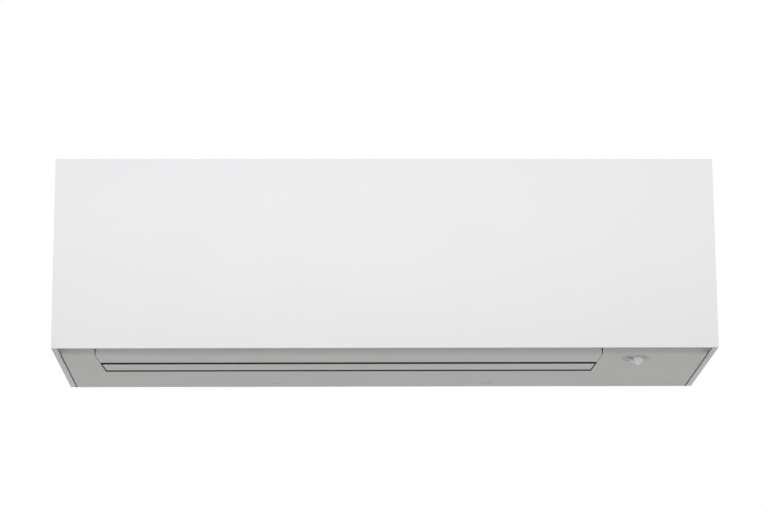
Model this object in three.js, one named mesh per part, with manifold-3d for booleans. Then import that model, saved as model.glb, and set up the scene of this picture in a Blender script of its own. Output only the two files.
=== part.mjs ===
// Wall-mounted mini split indoor unit: a flat white box with a slanted underside,
// an air outlet with two flaps, a cross-flow fan, a folded coil and two pull-out filters.
// Units are millimetres. While it is drawn, x = 0 is the middle of the unit, y = 0 its front
// plane (y grows towards the wall) and z = 0 the bottom edge of the front. The whole model
// is then moved so that the origin lies on the wall plane at mid height.

import * as THREE from 'three';
import { mergeVertices } from 'three/addons/utils/BufferGeometryUtils.js';
import Module from 'manifold-3d';

const wasm = await Module();
wasm.setup();

// ---- Driving dimensions -------------------------------------------------------------

// Whole unit
const WIDTH = 998;
const HALF_WIDTH = WIDTH / 2;
const DEPTH = 292;
const FRONT_HEIGHT = 292;
const UNDERSIDE_DROP = 8;         // how much lower the underside is at the wall
const WALL = 2.5;                 // moulded wall
const SEAT = 0.3;                 // gap between pieces that rest on each other
const RUNNING_GAP = 1.0;          // gap round pieces that swing

// Front panel
const PANEL_SKIN = 4;
const PANEL_RIB_DEPTH = 6;
const PANEL_RIM_INSET = 16;
const PANEL_HINGE_Y = 9;
const PANEL_HINGE_BELOW_TOP = 5;
const PANEL_HINGE_X = HALF_WIDTH - 169;
const HINGE_PIN_RADIUS = 2.2;

// Casing
const FRAME_Y = 14;               // front face of the casing behind the panel
const SHELF_Z = 14;               // bottom of the casing behind the panel's lower edge
const CHIN_TOP_Y = 44;
const CHIN_Y = 50;                // crease where the chin turns into the underside
const SIDE_PANEL_THICKNESS = 9;
const SIDE_SKIN = 2.5;
const SIDE_PAD = 1.1;             // pads that close the groove between casing and side panel
const SIDE_GROOVE = 1.4;

// Air outlet
const OUTLET_LEFT = -HALF_WIDTH + 60.4;
const OUTLET_RIGHT = HALF_WIDTH - 169.1;
const OUTLET_REAR_Y = 168;
const OUTLET_TAPER_LEFT = 6.5;    // the outlet narrows towards the wall by this much
const OUTLET_TAPER_RIGHT = 5.2;

// Flaps
const FLAP_THICKNESS = 3.5;
const MAIN_FLAP_REAR_Y = 103.5;
const MAIN_FLAP_AXIS = [98, 9];
const CHIN_END_GAP = 2.4;         // beside the main flap's ends, at the chin
const REAR_FLAP_END_GAP = 2;
const REAR_FLAP_FRONT_Y = 112.5;
const REAR_FLAP_REAR_Y = 160.5;
const REAR_FLAP_AXIS = [150, 9];
const FLAP_PIN_RADIUS = 3;

// Cross-flow fan and its motor
const FAN_AXIS = [168, 112];
const FAN_RADIUS = 50;
const FAN_INNER_RADIUS = 38.5;
const FAN_LEFT = OUTLET_LEFT + 6.6;
const FAN_RIGHT = OUTLET_RIGHT - 7.9;
const FAN_BLADES = 20;
const FAN_SECTIONS = 3;
const FAN_DISC = 2.4;
const BLADE_THICKNESS = 1.5;
const SHAFT_RADIUS = 4;
const FAN_STUB_RADIUS = 5;
const BEARING_RADIUS = 14;
const MOTOR_RADIUS = 44;
const MOTOR_LEFT = OUTLET_RIGHT + 13.1;
const MOTOR_LENGTH = 58;
const MOTOR_EAR = 54;             // half height of the motor's saddles and strap

// Duct
const TONGUE = [116.3, 93.2];     // lip of the front duct wall, beside the fan
const NOZZLE_LIP = [56, 12.7];    // lower end of the front duct wall
const SCROLL_START_DEG = 25;
const SCROLL_END_DEG = -40;
const SCROLL_START_RADIUS = 54.5;
const SCROLL_END_RADIUS = 63;
const SCROLL_LIP_Y = 171;
const END_WALL_LEFT = OUTLET_LEFT - 8.4;
const END_WALL_RIGHT = OUTLET_RIGHT + 8.1;

// Steering vanes
const VANES = 12;
const VANE_THICKNESS = 1.8;
const VANE_PIVOT_ALONG_WALL = 62; // from the tongue, down the front duct wall
const VANE_HALF_CHORD = 24;
const VANE_PIN_RADIUS = 2.5;
const VANE_PEG_ARM = 14;          // from a vane's pivot to its link peg
const VANE_PEG_RADIUS = 1.6;
const VANE_SWING_DEG = 30;
const LINK_HEIGHT = 20.5;         // link bar above the front duct wall
const LINK_THICKNESS = 3;
const LINK_WIDTH = 10;
const LINK_CLEARANCE = 0.4;
const CRANK_X = END_WALL_LEFT - 19;

// Filters
const FILTER_FOOT = [26, 62];
const FILTER_LEAN_DEG = 25;
const FILTER_TOP_Z = FRONT_HEIGHT - 19.7;
const FILTER_THICKNESS = 4;
const FILTER_ROWS = 4;
const FILTER_COLUMNS = 4;

// Coil
const COIL_THICKNESS = 27;
const COIL_LEFT = OUTLET_LEFT - 3.1;
const COIL_RIGHT = OUTLET_RIGHT + 1.8;
const COIL_BEHIND_FILTER = 7;
const COIL_FRONT_START = 12;      // along the leg, from the filter's foot
const COIL_FRONT_LENGTH = 200;
const COIL_REAR_TOP = [164, 248];
const COIL_REAR_LEAN_DEG = 36;
const COIL_REAR_LENGTH = 148;
const COIL_FIN_PITCH = 26;
const COIL_FIN_DEPTH = 9;
const COIL_PLATE = 2.2;
const TUBE_RADIUS = 3.5;
const TUBE_PITCH = 21;

// Pipes in the rear recess
const GAS_PIPE_RADIUS = 6.35;
const LIQUID_PIPE_RADIUS = 3.2;
const GAS_PIPE_Z = 11;
const LIQUID_PIPE_Z = 31;
const PIPE_Y = DEPTH - 30;
const PIPE_END_X = -60;
const GAS_DROP_X = END_WALL_RIGHT + 60;
const LIQUID_DROP_X = END_WALL_RIGHT + 32;
const NUT_LENGTH = 20;

// Sensor in the underside
const SENSOR_X = OUTLET_RIGHT + 53.1;
const SENSOR_Y = 77;
const SENSOR_DISH_RADIUS = 20;
const SENSOR_DISH_DEPTH = 7;
const SENSOR_NECK_TOP = 22;       // top of the bezel's neck, which the ball's collar rests on
const SENSOR_BALL_RADIUS = 12.5;
const SENSOR_BALL_Z = 1.5;

// Mounting plate
const PLATE_THICKNESS = 1.6;
const PLATE_HALF_WIDTH = HALF_WIDTH - 99;
const PLATE_BOTTOM = 16;
const PLATE_TOP = FRONT_HEIGHT - 20;
const HOOK_X = PLATE_HALF_WIDTH - 100;
const HOOK_Z = PLATE_TOP - 22;      // top side of the slots that the hooks carry
const CLIP_X = 168;               // the two release clips at the bottom
const BACK_GAP = 1.9;             // between the plate and the chassis' back wall

// ---- Worked out from the driving dimensions -------------------------------------------

const CASING_HALF = HALF_WIDTH - SIDE_PANEL_THICKNESS - SIDE_GROOVE;
const BACK_WALL_FRONT = DEPTH - PLATE_THICKNESS - BACK_GAP - WALL;
const CASING_REAR = BACK_WALL_FRONT - SEAT;
const FRAME_BACK = FRAME_Y + WALL;
const PANEL_HINGE_Z = FRONT_HEIGHT - PANEL_HINGE_BELOW_TOP;
const NOZZLE_LEFT = END_WALL_LEFT + WALL + SEAT;
const NOZZLE_RIGHT = END_WALL_RIGHT - WALL - SEAT;
const CHEEK_LEFT = NOZZLE_LEFT + WALL;
const CHEEK_RIGHT = NOZZLE_RIGHT - WALL;
const FILTER_LEAN = THREE.MathUtils.degToRad(FILTER_LEAN_DEG);
const FILTER_RISE = [Math.sin(FILTER_LEAN), Math.cos(FILTER_LEAN)];
const FILTER_BACK = [FILTER_RISE[1], -FILTER_RISE[0]];
const FILTER_LENGTH = (FILTER_TOP_Z - FILTER_FOOT[1]) / FILTER_RISE[1];
const FILTER_MIDDLE_X = (COIL_LEFT + COIL_RIGHT) / 2 + 1;

const undersideZ = (y) => -UNDERSIDE_DROP * y / DEPTH;
const floorZ = (y) => undersideZ(y) + WALL + SEAT;

// ---- Materials -----------------------------------------------------------------------

const finish = (color, roughness, metalness = 0) =>
  new THREE.MeshStandardMaterial({ color, roughness, metalness });
const WHITE = finish(0xe9eaeb, 0.35);
const WARM_WHITE = finish(0xd9d7d3, 0.5);
const INNER_GREY = finish(0x3d3f41, 0.6);
const DARK_GREY = finish(0x2c2e30, 0.6);
const STEEL = finish(0xa9adb0, 0.4, 0.9);
const ALUMINIUM = finish(0xc3c8cc, 0.35, 0.9);
const COPPER = finish(0xb87350, 0.3, 0.9);
const BRASS = finish(0xc2a45c, 0.35, 0.9);
const RUBBER = finish(0x222324, 0.8);
const BOARD_GREEN = finish(0x2f6b45, 0.6);

// ---- Shapes ----------------------------------------------------------------------------

// Turns a closed geometry into a solid that can be cut and joined.
function solidOf(geometry) {
  const bare = geometry.index ? geometry.toNonIndexed() : geometry.clone();
  bare.deleteAttribute('normal');
  bare.deleteAttribute('uv');
  const merged = mergeVertices(bare, 1e-4);
  return new wasm.Manifold(new wasm.Mesh({
    numProp: 3,
    vertProperties: new Float32Array(merged.attributes.position.array),
    triVerts: new Uint32Array(merged.index.array),
  }));
}

const join = (solids) => solids.reduce((whole, solid) => whole.add(solid));
const cut = (solid, tools) => tools.reduce((rest, tool) => rest.subtract(tool), solid);

function outline(points, holes = []) {
  const shape = new THREE.Shape(points.map(([a, b]) => new THREE.Vector2(a, b)));
  shape.holes = holes.map((hole) => new THREE.Path(hole.map(([a, b]) => new THREE.Vector2(a, b))));
  return shape;
}

const rectangle = (a0, a1, b0, b1) => [[a0, b0], [a1, b0], [a1, b1], [a0, b1]];

function circle(centreA, centreB, radius, sides, turn = 0) {
  return Array.from({ length: sides }, (_, i) => {
    const angle = turn + (2 * Math.PI * i) / sides;
    return [centreA + radius * Math.cos(angle), centreB + radius * Math.sin(angle)];
  });
}

const X_AXIS = new THREE.Vector3(1, 0, 0);
const Y_AXIS = new THREE.Vector3(0, 1, 0);
const Z_AXIS = new THREE.Vector3(0, 0, 1);
const SIDE_VIEW = new THREE.Matrix4().makeBasis(Y_AXIS, Z_AXIS, X_AXIS);
const FRONT_VIEW = new THREE.Matrix4().makeBasis(X_AXIS, Z_AXIS, Y_AXIS.clone().negate());

function extrusion(shape, depth) {
  return new THREE.ExtrudeGeometry(shape, { depth, bevelEnabled: false, curveSegments: 8 });
}

// A side-view (y, z) shape that runs from x = from to x = to.
function alongX(shape, from, to) {
  return solidOf(extrusion(shape, to - from).applyMatrix4(SIDE_VIEW).translate(from, 0, 0));
}

// A front-view (x, z) shape that runs from y = from to y = to.
function alongY(shape, from, to) {
  return solidOf(extrusion(shape, to - from).applyMatrix4(FRONT_VIEW).translate(0, to, 0));
}

// A plan (x, y) shape that runs from z = from to z = to.
function alongZ(shape, from, to) {
  return solidOf(extrusion(shape, to - from).translate(0, 0, from));
}

// Holes of the given outlines, to be cut out of a solid drawn in the same view.
const holesOf = (view, outlines, from, to) =>
  join(outlines.map((hole) => view(outline(hole), from, to)));

function box(x0, x1, y0, y1, z0, z1) {
  const geometry = new THREE.BoxGeometry(x1 - x0, y1 - y0, z1 - z0);
  return solidOf(geometry.translate((x0 + x1) / 2, (y0 + y1) / 2, (z0 + z1) / 2));
}

// A round bar along X.
function barX(y, z, radius, from, to, sides = 16) {
  return alongX(outline(circle(y, z, radius, sides, Math.PI / sides)), from, to);
}

// A solid of revolution round an axis along X, from [x, radius] points that close on the axis.
function turnedX(profile, y, z, sides) {
  const points = profile.map(([x, radius]) => new THREE.Vector2(radius, x));
  const geometry = new THREE.LatheGeometry(points, sides);
  return solidOf(geometry.rotateZ(-Math.PI / 2).translate(0, y, z));
}

// A solid of revolution round a vertical axis, from [radius, z] points.
function turnedZ(profile, x, y, sides) {
  const points = profile.map(([radius, z]) => new THREE.Vector2(radius, z));
  const geometry = new THREE.LatheGeometry(points, sides);
  return solidOf(geometry.rotateX(Math.PI / 2).translate(x, y, 0));
}

// A tube of the given section along a smooth path.
function tube(points, section, steps) {
  const path = new THREE.CatmullRomCurve3(points, false, 'centripetal');
  return solidOf(new THREE.ExtrudeGeometry(section, { steps, extrudePath: path, bevelEnabled: false }));
}

const unit = new THREE.Group();
unit.position.set(0, -DEPTH, -(FRONT_HEIGHT + UNDERSIDE_DROP) / 2 + UNDERSIDE_DROP);

function piece(name, solid, material, parent = unit) {
  const { vertProperties, triVerts } = solid.getMesh();
  const geometry = new THREE.BufferGeometry();
  geometry.setAttribute('position', new THREE.BufferAttribute(vertProperties, 3));
  geometry.setIndex(new THREE.BufferAttribute(triVerts, 1));
  geometry.computeVertexNormals();
  const mesh = new THREE.Mesh(geometry, material);
  mesh.name = name;
  parent.add(mesh);
  return mesh;
}

// ---- Front panel ------------------------------------------------------------------------

// One flat moulded plate with a rim and ribs behind it, hung on two pins near its top edge.
function frontPanel() {
  const skin = box(-HALF_WIDTH, HALF_WIDTH, 0, PANEL_SKIN, 0, FRONT_HEIGHT);
  const rimTop = PANEL_HINGE_Z - HINGE_PIN_RADIUS - PANEL_RIM_INSET;
  const rimHalf = HALF_WIDTH - PANEL_RIM_INSET;
  const ribBack = PANEL_SKIN + PANEL_RIB_DEPTH;
  const rim = alongY(outline(
    rectangle(-rimHalf, rimHalf, PANEL_RIM_INSET, rimTop),
    [rectangle(-rimHalf + WALL, rimHalf - WALL, PANEL_RIM_INSET + WALL, rimTop - WALL)],
  ), PANEL_SKIN - SEAT, ribBack);
  const ribs = [-0.5, 0, 0.5].map((share) => {
    const x = share * rimHalf;
    return box(x - WALL / 2, x + WALL / 2, PANEL_SKIN - SEAT, ribBack, PANEL_RIM_INSET, rimTop);
  });
  const arms = [-PANEL_HINGE_X, PANEL_HINGE_X].flatMap((x) => [
    box(x - 3, x + 3, PANEL_SKIN - SEAT, PANEL_HINGE_Y, PANEL_HINGE_Z - 3, PANEL_HINGE_Z + 3),
    barX(PANEL_HINGE_Y, PANEL_HINGE_Z, HINGE_PIN_RADIUS, x - 9, x + 9, 12),
  ]);
  piece('front_panel', join([skin, rim, ...ribs, ...arms]), WHITE);
}

// ---- Casing -----------------------------------------------------------------------------

// Plan view of the outlet, narrower towards the wall, with the ends moved in by inset.
function outletPlan(inset, fromY, toY) {
  const span = OUTLET_REAR_Y - CHIN_Y;
  const left = (y) => OUTLET_LEFT + inset + (OUTLET_TAPER_LEFT * (y - CHIN_Y)) / span;
  const right = (y) => OUTLET_RIGHT - inset - (OUTLET_TAPER_RIGHT * (y - CHIN_Y)) / span;
  return outline([[left(fromY), fromY], [right(fromY), fromY], [right(toY), toY], [left(toY), toY]]);
}

// Side view of the casing: shelf, chin, slanted underside, back and top, moved in by inset.
function casingOutline(inset, rear) {
  const top = FRONT_HEIGHT - inset;
  const chinFoot = [CHIN_Y + inset * 0.8, undersideZ(CHIN_Y) + inset];
  return outline([
    [FRAME_Y + inset, SHELF_Z + inset],
    [CHIN_TOP_Y + inset, SHELF_Z + inset],
    [chinFoot[0] - 1.2, chinFoot[1] + 2.4],
    [chinFoot[0] + 1.2, chinFoot[1]],
    [rear, undersideZ(rear) + inset],
    [rear, top],
    [FRAME_Y + inset, top],
  ]);
}

// The two ears that hold a hinge pin of the front panel, above the front frame.
function hingeEars(x) {
  const reach = HINGE_PIN_RADIUS + 2.4;
  const ear = outline([
    [PANEL_HINGE_Y - reach + 0.4, PANEL_HINGE_Z - reach],
    [FRAME_Y + SEAT, PANEL_HINGE_Z - reach],
    [FRAME_Y + SEAT, PANEL_HINGE_Z + reach],
    [PANEL_HINGE_Y, PANEL_HINGE_Z + reach],
    [PANEL_HINGE_Y - reach + 0.4, PANEL_HINGE_Z],
  ], [circle(PANEL_HINGE_Y, PANEL_HINGE_Z, HINGE_PIN_RADIUS + SEAT, 12, Math.PI / 12)]);
  return [alongX(ear, x - 9, x - 4), alongX(ear, x + 4, x + 9)];
}

// Ledges and side plates that carry the filters on their slant, behind the front windows.
function filterRails(x, ledgeFrom, ledgeTo) {
  const along = (t, off) => [
    FILTER_FOOT[0] + t * FILTER_RISE[0] + off * FILTER_BACK[0],
    FILTER_FOOT[1] + t * FILTER_RISE[1] + off * FILTER_BACK[1],
  ];
  const under = FILTER_THICKNESS / 2 + SEAT;
  const topZ = FRONT_HEIGHT - GRILLE_DEPTH - SEAT;
  const topT = (topZ - FILTER_FOOT[1]) / FILTER_RISE[1];
  const plate = outline([
    [FRAME_Y + WALL / 2, SHELF_Z + 26],
    along(-4, under + WALL),
    along(topT, under + WALL),
    [FRAME_Y + WALL / 2, topZ],
  ]);
  const ledge = outline([
    along(-4, under), along(-4, under + WALL), along(topT, under + WALL), along(topT, under),
  ]);
  return [alongX(plate, x - WALL / 2, x + WALL / 2), alongX(ledge, x + ledgeFrom, x + ledgeTo)];
}

const WINDOW_LEFT = COIL_LEFT - 2;
const WINDOW_RIGHT = COIL_RIGHT + 2;
const WINDOW_BOTTOM = SHELF_Z + 13;
const WINDOW_TOP = FRONT_HEIGHT - 26;
const MULLION_HALF = WALL / 2;
const FILTER_LEDGE = 4.5;         // from a rail's middle to the edge that a filter lies on
const INTAKE_HALF = CASING_HALF - 16;
const INTAKE_FRONT = FRAME_BACK + 3.5;
const INTAKE_REAR = DEPTH - 24;
const GRILLE_DEPTH = 4;
const BUTTON_X = SENSOR_X + 21;
const BUTTON_Z = 60;
const BUTTON_RADIUS = 5;
const DIMPLE_Y = DEPTH - 30;      // marks in the underside below the release clips
const SCREW_RADIUS = 2;
const SCREW_POINTS = [-CASING_HALF + 27, CASING_HALF - 117].flatMap((x) =>
  [SHELF_Z + 26, FRONT_HEIGHT - 42].map((z) => [x, z]));

function frontCasing() {
  const shell = cut(alongX(casingOutline(0, CASING_REAR), -CASING_HALF, CASING_HALF), [
    alongX(casingOutline(WALL, DEPTH + WALL), -CASING_HALF + WALL, CASING_HALF - WALL),
  ]);
  const lipEnd = DEPTH - PLATE_THICKNESS - SEAT;
  const rearLip = alongX(outline([
    [CASING_REAR - 1, undersideZ(CASING_REAR - 1)], [lipEnd, undersideZ(lipEnd)],
    [lipEnd, undersideZ(lipEnd) + WALL], [CASING_REAR - 1, undersideZ(CASING_REAR - 1) + WALL],
  ]), -CASING_HALF, CASING_HALF);
  const rails = [
    ...filterRails(WINDOW_LEFT - WALL / 2, 0, FILTER_LEDGE),
    ...filterRails(FILTER_MIDDLE_X, -FILTER_LEDGE, FILTER_LEDGE),
    ...filterRails(WINDOW_RIGHT + WALL / 2, -FILTER_LEDGE, 0),
  ];
  const windows = [
    [WINDOW_LEFT, FILTER_MIDDLE_X - MULLION_HALF],
    [FILTER_MIDDLE_X + MULLION_HALF, WINDOW_RIGHT],
  ].map(([from, to]) => box(from, to, FRAME_Y - 1, FRAME_BACK + SEAT, WINDOW_BOTTOM, WINDOW_TOP));
  const top = FRONT_HEIGHT + 1;
  const bottom = -UNDERSIDE_DROP - 1;
  const intake = box(-INTAKE_HALF, INTAKE_HALF, INTAKE_FRONT, INTAKE_REAR, top - WALL - 2, top);
  const outlet = alongZ(outletPlan(0, CHIN_TOP_Y - 3, OUTLET_REAR_Y), bottom, SHELF_Z + WALL + 1);
  const sensorHole = alongZ(
    outline(circle(SENSOR_X, SENSOR_Y, SENSOR_DISH_RADIUS + SEAT, 24)), bottom, SENSOR_DISH_DEPTH + 1);
  const dimples = [-CLIP_X, CLIP_X].map((x) =>
    alongZ(outline([[x - 9, DIMPLE_Y - 3], [x + 9, DIMPLE_Y - 3], [x, DIMPLE_Y + 3]]),
      bottom, undersideZ(DIMPLE_Y) + 0.8));
  const throughFrame = (hole) => alongY(outline(hole), FRAME_Y - 1, FRAME_BACK + 1);
  const button = throughFrame(circle(BUTTON_X, BUTTON_Z, BUTTON_RADIUS + SEAT, 16));
  const screwHoles = SCREW_POINTS.map(([x, z]) => throughFrame(circle(x, z, SCREW_RADIUS + SEAT, 8)));
  const ears = [...hingeEars(-PANEL_HINGE_X), ...hingeEars(PANEL_HINGE_X)];
  piece('front_casing', cut(join([shell, rearLip, ...rails]), [
    ...windows, intake, outlet, sensorHole, ...dimples, button, ...screwHoles,
  ]).add(join(ears)), WARM_WHITE);
}

// Lattice of slats over the intake, dropped into the casing's top.
function topGrille() {
  const half = INTAKE_HALF - SEAT;
  const front = INTAKE_FRONT + SEAT;
  const rear = INTAKE_REAR - SEAT;
  const rim = 6;
  const rib = 3;
  const rows = 9;
  const columns = 4;
  const cellX = (2 * half - 2 * rim + rib) / columns;
  const cellY = (rear - front - 2 * rim + rib) / rows;
  const holes = [];
  for (let column = 0; column < columns; column += 1) {
    for (let row = 0; row < rows; row += 1) {
      const x = -half + rim + column * cellX;
      const y = front + rim + row * cellY;
      holes.push(rectangle(x, x + cellX - rib, y, y + cellY - rib));
    }
  }
  const bottom = FRONT_HEIGHT - GRILLE_DEPTH;
  const sheet = alongZ(outline(rectangle(-half, half, front, rear)), bottom, FRONT_HEIGHT - 0.5);
  piece('top_grille', sheet.subtract(holesOf(alongZ, holes, bottom - 1, FRONT_HEIGHT)), WARM_WHITE);
}

// A tray-shaped side cover whose lower edge shows from below as a narrow strip.
function sidePanel(name, side) {
  const front = PANEL_SKIN + SEAT;
  const rear = DEPTH - PLATE_THICKNESS - SEAT;
  const rim = 3;
  const face = outline([
    [front, undersideZ(front)], [rear, undersideZ(rear)], [rear, FRONT_HEIGHT], [front, FRONT_HEIGHT],
  ]);
  const pocketFace = outline([
    [front + rim, SHELF_Z + rim],
    [CHIN_TOP_Y + rim, SHELF_Z + rim],
    [CHIN_Y + rim + 2, undersideZ(CHIN_Y) + rim],
    [rear - rim, undersideZ(rear) + rim],
    [rear - rim, FRONT_HEIGHT - rim],
    [front + rim, FRONT_HEIGHT - rim],
  ]);
  const span = (from, to) => (side > 0 ? [from, to] : [-to, -from]);
  const inner = HALF_WIDTH - SIDE_PANEL_THICKNESS;
  const slab = alongX(face, ...span(inner, HALF_WIDTH));
  const pocket = alongX(pocketFace, ...span(inner - 1, HALF_WIDTH - SIDE_SKIN));
  const ribs = [95, 190].map((y) => {
    const [x0, x1] = span(inner, HALF_WIDTH - SIDE_SKIN + SEAT);
    return box(x0, x1, y - 1, y + 1, 0, FRONT_HEIGHT - 1);
  });
  const crossRib = (() => {
    const [x0, x1] = span(inner, HALF_WIDTH - SIDE_SKIN + SEAT);
    return box(x0, x1, front + 1, rear - 1, FRONT_HEIGHT / 2 - 1, FRONT_HEIGHT / 2 + 1);
  })();
  const padPoints = [60, DEPTH - 62].flatMap((y) => [40, FRONT_HEIGHT - 52].map((z) => [y, z]));
  const pads = padPoints.map(([y, z]) => {
    const [x0, x1] = span(inner - SIDE_PAD, HALF_WIDTH - SIDE_SKIN + SEAT);
    return box(x0, x1, y - 6, y + 6, z - 6, z + 6);
  });
  // Corner taken off so that the front panel's top edge can swing back over it.
  const corner = alongX(outline([
    [front - 1, PANEL_HINGE_Z], [front, PANEL_HINGE_Z], [PANEL_HINGE_Y, FRONT_HEIGHT],
    [PANEL_HINGE_Y, FRONT_HEIGHT + 1], [front - 1, FRONT_HEIGHT + 1],
  ]), ...span(inner - 1, HALF_WIDTH + 1));
  piece(name, join([slab.subtract(pocket), ...ribs, crossRib, ...pads]).subtract(corner), WHITE);
}

// ---- Rear chassis and mounting plate --------------------------------------------------------

const polar = (angleDeg, radius) => {
  const angle = THREE.MathUtils.degToRad(angleDeg);
  return [FAN_AXIS[0] + radius * Math.cos(angle), FAN_AXIS[1] + radius * Math.sin(angle)];
};

// Inner side of the fan's scroll: a spiral behind the fan that runs out into the outlet.
function scrollCurve(offset) {
  const spiral = [];
  const steps = 8;
  for (let i = 0; i <= steps; i += 1) {
    const share = i / steps;
    const angle = THREE.MathUtils.lerp(SCROLL_START_DEG, SCROLL_END_DEG, share);
    const radius = THREE.MathUtils.lerp(SCROLL_START_RADIUS, SCROLL_END_RADIUS, share);
    spiral.push(polar(angle, radius + offset));
  }
  const [endY, endZ] = spiral.at(-1);
  const runOut = new THREE.QuadraticBezierCurve(
    new THREE.Vector2(endY, endZ),
    new THREE.Vector2(endY - 22, endZ - 27),
    new THREE.Vector2(SCROLL_LIP_Y + offset, floorZ(SCROLL_LIP_Y)),
  );
  return [...spiral, ...runOut.getPoints(6).slice(1).map((p) => [p.x, p.y])];
}

const REAR_TROUGH_Z = 104;
const CHASSIS_HALF = CASING_HALF - WALL - SEAT;
const hookSlot = (x) => rectangle(x - 21, x + 21, HOOK_Z - 0.5, HOOK_Z + 14);
const clipSlot = (x) => rectangle(x - 17, x + 17, 2, 11);

function rearChassis() {
  const inner = scrollCurve(0);
  const outer = scrollCurve(WALL).reverse();
  const scroll = alongX(outline([...inner, ...outer].reverse()), END_WALL_LEFT, END_WALL_RIGHT);
  const back = BACK_WALL_FRONT;
  const backBottom = floorZ(back) + 1;
  const slots = [-HOOK_X, HOOK_X].map(hookSlot).concat([-CLIP_X, CLIP_X].map(clipSlot));
  const backWall = alongY(outline(
    rectangle(-CHASSIS_HALF, CHASSIS_HALF, backBottom, FRONT_HEIGHT - WALL - SEAT),
  ), back, back + WALL).subtract(holesOf(alongY, slots, back - 1, back + WALL + 1));
  const shelf = alongX(outline([
    [FAN_AXIS[0] + 56, REAR_TROUGH_Z],
    [FAN_AXIS[0] + 56, REAR_TROUGH_Z - WALL],
    [back + 1, REAR_TROUGH_Z - WALL],
    [back + 1, REAR_TROUGH_Z],
  ].reverse()), END_WALL_LEFT, END_WALL_RIGHT);
  const endWall = outline([
    [104, 76], [122, 54], [188, 54], [222, 84], [back + 1, 84], [back + 1, 134], [226, 134],
    [196, 166], [150, 166], [104, 120],
  ]);
  const [fy, fz] = FAN_AXIS;
  const ends = join([alongX(endWall, END_WALL_LEFT, END_WALL_LEFT + WALL),
    alongX(endWall, END_WALL_RIGHT - WALL, END_WALL_RIGHT)]);
  const hub = barX(fy, fz, BEARING_RADIUS + 4, END_WALL_LEFT - 5, END_WALL_LEFT + 7);
  const bore = barX(fy, fz, BEARING_RADIUS + SEAT, END_WALL_LEFT - 6, END_WALL_LEFT + 8);
  const nose = barX(fy, fz, 24, END_WALL_RIGHT - WALL - 1, END_WALL_RIGHT + 1, 20);
  const motorRight = MOTOR_LEFT + MOTOR_LENGTH;
  const saddle = outline(rectangle(fy, back + 1, fz - MOTOR_EAR, fz + MOTOR_EAR));
  const saddles = [MOTOR_LEFT + 8, motorRight - 18]
    .map((x) => alongX(saddle, x, x + 3));
  const motorSpace = barX(fy, fz, MOTOR_RADIUS + SEAT, MOTOR_LEFT - 2, motorRight + 2, 32);
  const railTop = backBottom + WALL;
  const bottomRail = box(-CHASSIS_HALF, CHASSIS_HALF, back - 14, back + WALL / 2, backBottom, railTop);
  const railNotches = [-CLIP_X, CLIP_X].map((x) =>
    box(x - 17, x + 17, back - 7, back + 1, backBottom - 1, 11));
  const body = join([backWall, scroll, shelf, ends, hub, cut(join(saddles), [motorSpace]), bottomRail]);
  piece('rear_chassis', cut(body, [bore, nose, ...railNotches]), INNER_GREY);
}

// Pressed steel plate on the wall, with two hooks above and two sprung clips below.
function mountingPlate() {
  const y0 = DEPTH - PLATE_THICKNESS;
  const w = PLATE_HALF_WIDTH;
  const holes = [-w + 60, -120, 120, w - 60].flatMap((x) =>
    [PLATE_BOTTOM + 22, PLATE_TOP - 22].map((z) => circle(x, z, 2.8, 6)));
  const windows = [-w + 160, w - 160].map((x) =>
    rectangle(x - 46, x + 46, PLATE_TOP - 162, PLATE_TOP - 92));
  const sheet = alongY(outline([
    [-w, PLATE_BOTTOM + 30], [-w + 30, PLATE_BOTTOM], [w - 30, PLATE_BOTTOM], [w, PLATE_BOTTOM + 30],
    [w, PLATE_TOP - 20], [w - 20, PLATE_TOP], [-w + 20, PLATE_TOP], [-w, PLATE_TOP - 20],
  ]), y0, DEPTH).subtract(holesOf(alongY, [...holes, ...windows], y0 - 1, DEPTH + 1));
  const lip = BACK_WALL_FRONT - SEAT;
  const hooks = [-HOOK_X, HOOK_X].flatMap((x) => [
    box(x - 18, x + 18, lip - PLATE_THICKNESS, y0 + 1, HOOK_Z, HOOK_Z + PLATE_THICKNESS),
    box(x - 18, x + 18, lip - PLATE_THICKNESS, lip, HOOK_Z, HOOK_Z + 16),
  ]);
  const clips = [-CLIP_X, CLIP_X].flatMap((x) => [
    box(x - 14, x + 14, y0, DEPTH, 4, PLATE_BOTTOM + 1),
    box(x - 14, x + 14, lip - 5, y0 + 1, 4, 4 + PLATE_THICKNESS),
    box(x - 14, x + 14, lip - 5, lip - 5 + PLATE_THICKNESS, 4, 9),
  ]);
  piece('mounting_plate', join([sheet, ...hooks, ...clips]), STEEL);
}

// ---- Drain pan with the front duct wall -------------------------------------------------------

const wallRun = [NOZZLE_LIP[0] - TONGUE[0], NOZZLE_LIP[1] - TONGUE[1]];
const wallLength = Math.hypot(...wallRun);
const FLOW = [wallRun[0] / wallLength, wallRun[1] / wallLength];
const ACROSS = [-FLOW[1], FLOW[0]];
const VANE_PIVOT = [
  TONGUE[0] + VANE_PIVOT_ALONG_WALL * FLOW[0],
  TONGUE[1] + VANE_PIVOT_ALONG_WALL * FLOW[1],
];
// Vane frame: x along the unit, y with the air flow, z away from the front duct wall.
const VANE_FRAME = new THREE.Matrix4().makeBasis(
  X_AXIS,
  new THREE.Vector3(0, FLOW[0], FLOW[1]),
  new THREE.Vector3(0, ACROSS[0], ACROSS[1]),
).setPosition(0, ...VANE_PIVOT);
const inVaneFrame = (solid) => solid.transform(VANE_FRAME.elements);
const VANE_PITCH = (CHEEK_RIGHT - CHEEK_LEFT) / VANES;
const vaneX = (index) => CHEEK_LEFT + VANE_PITCH * (index + 0.5);
const roundAlongZ = (x, y, radius, from, to, sides = 8) =>
  alongZ(outline(circle(x, y, radius, sides, Math.PI / sides)), from, to);

const PAN_FLOOR = SHELF_Z + WALL + SEAT;
const SPIGOT = [48, 40];

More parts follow.
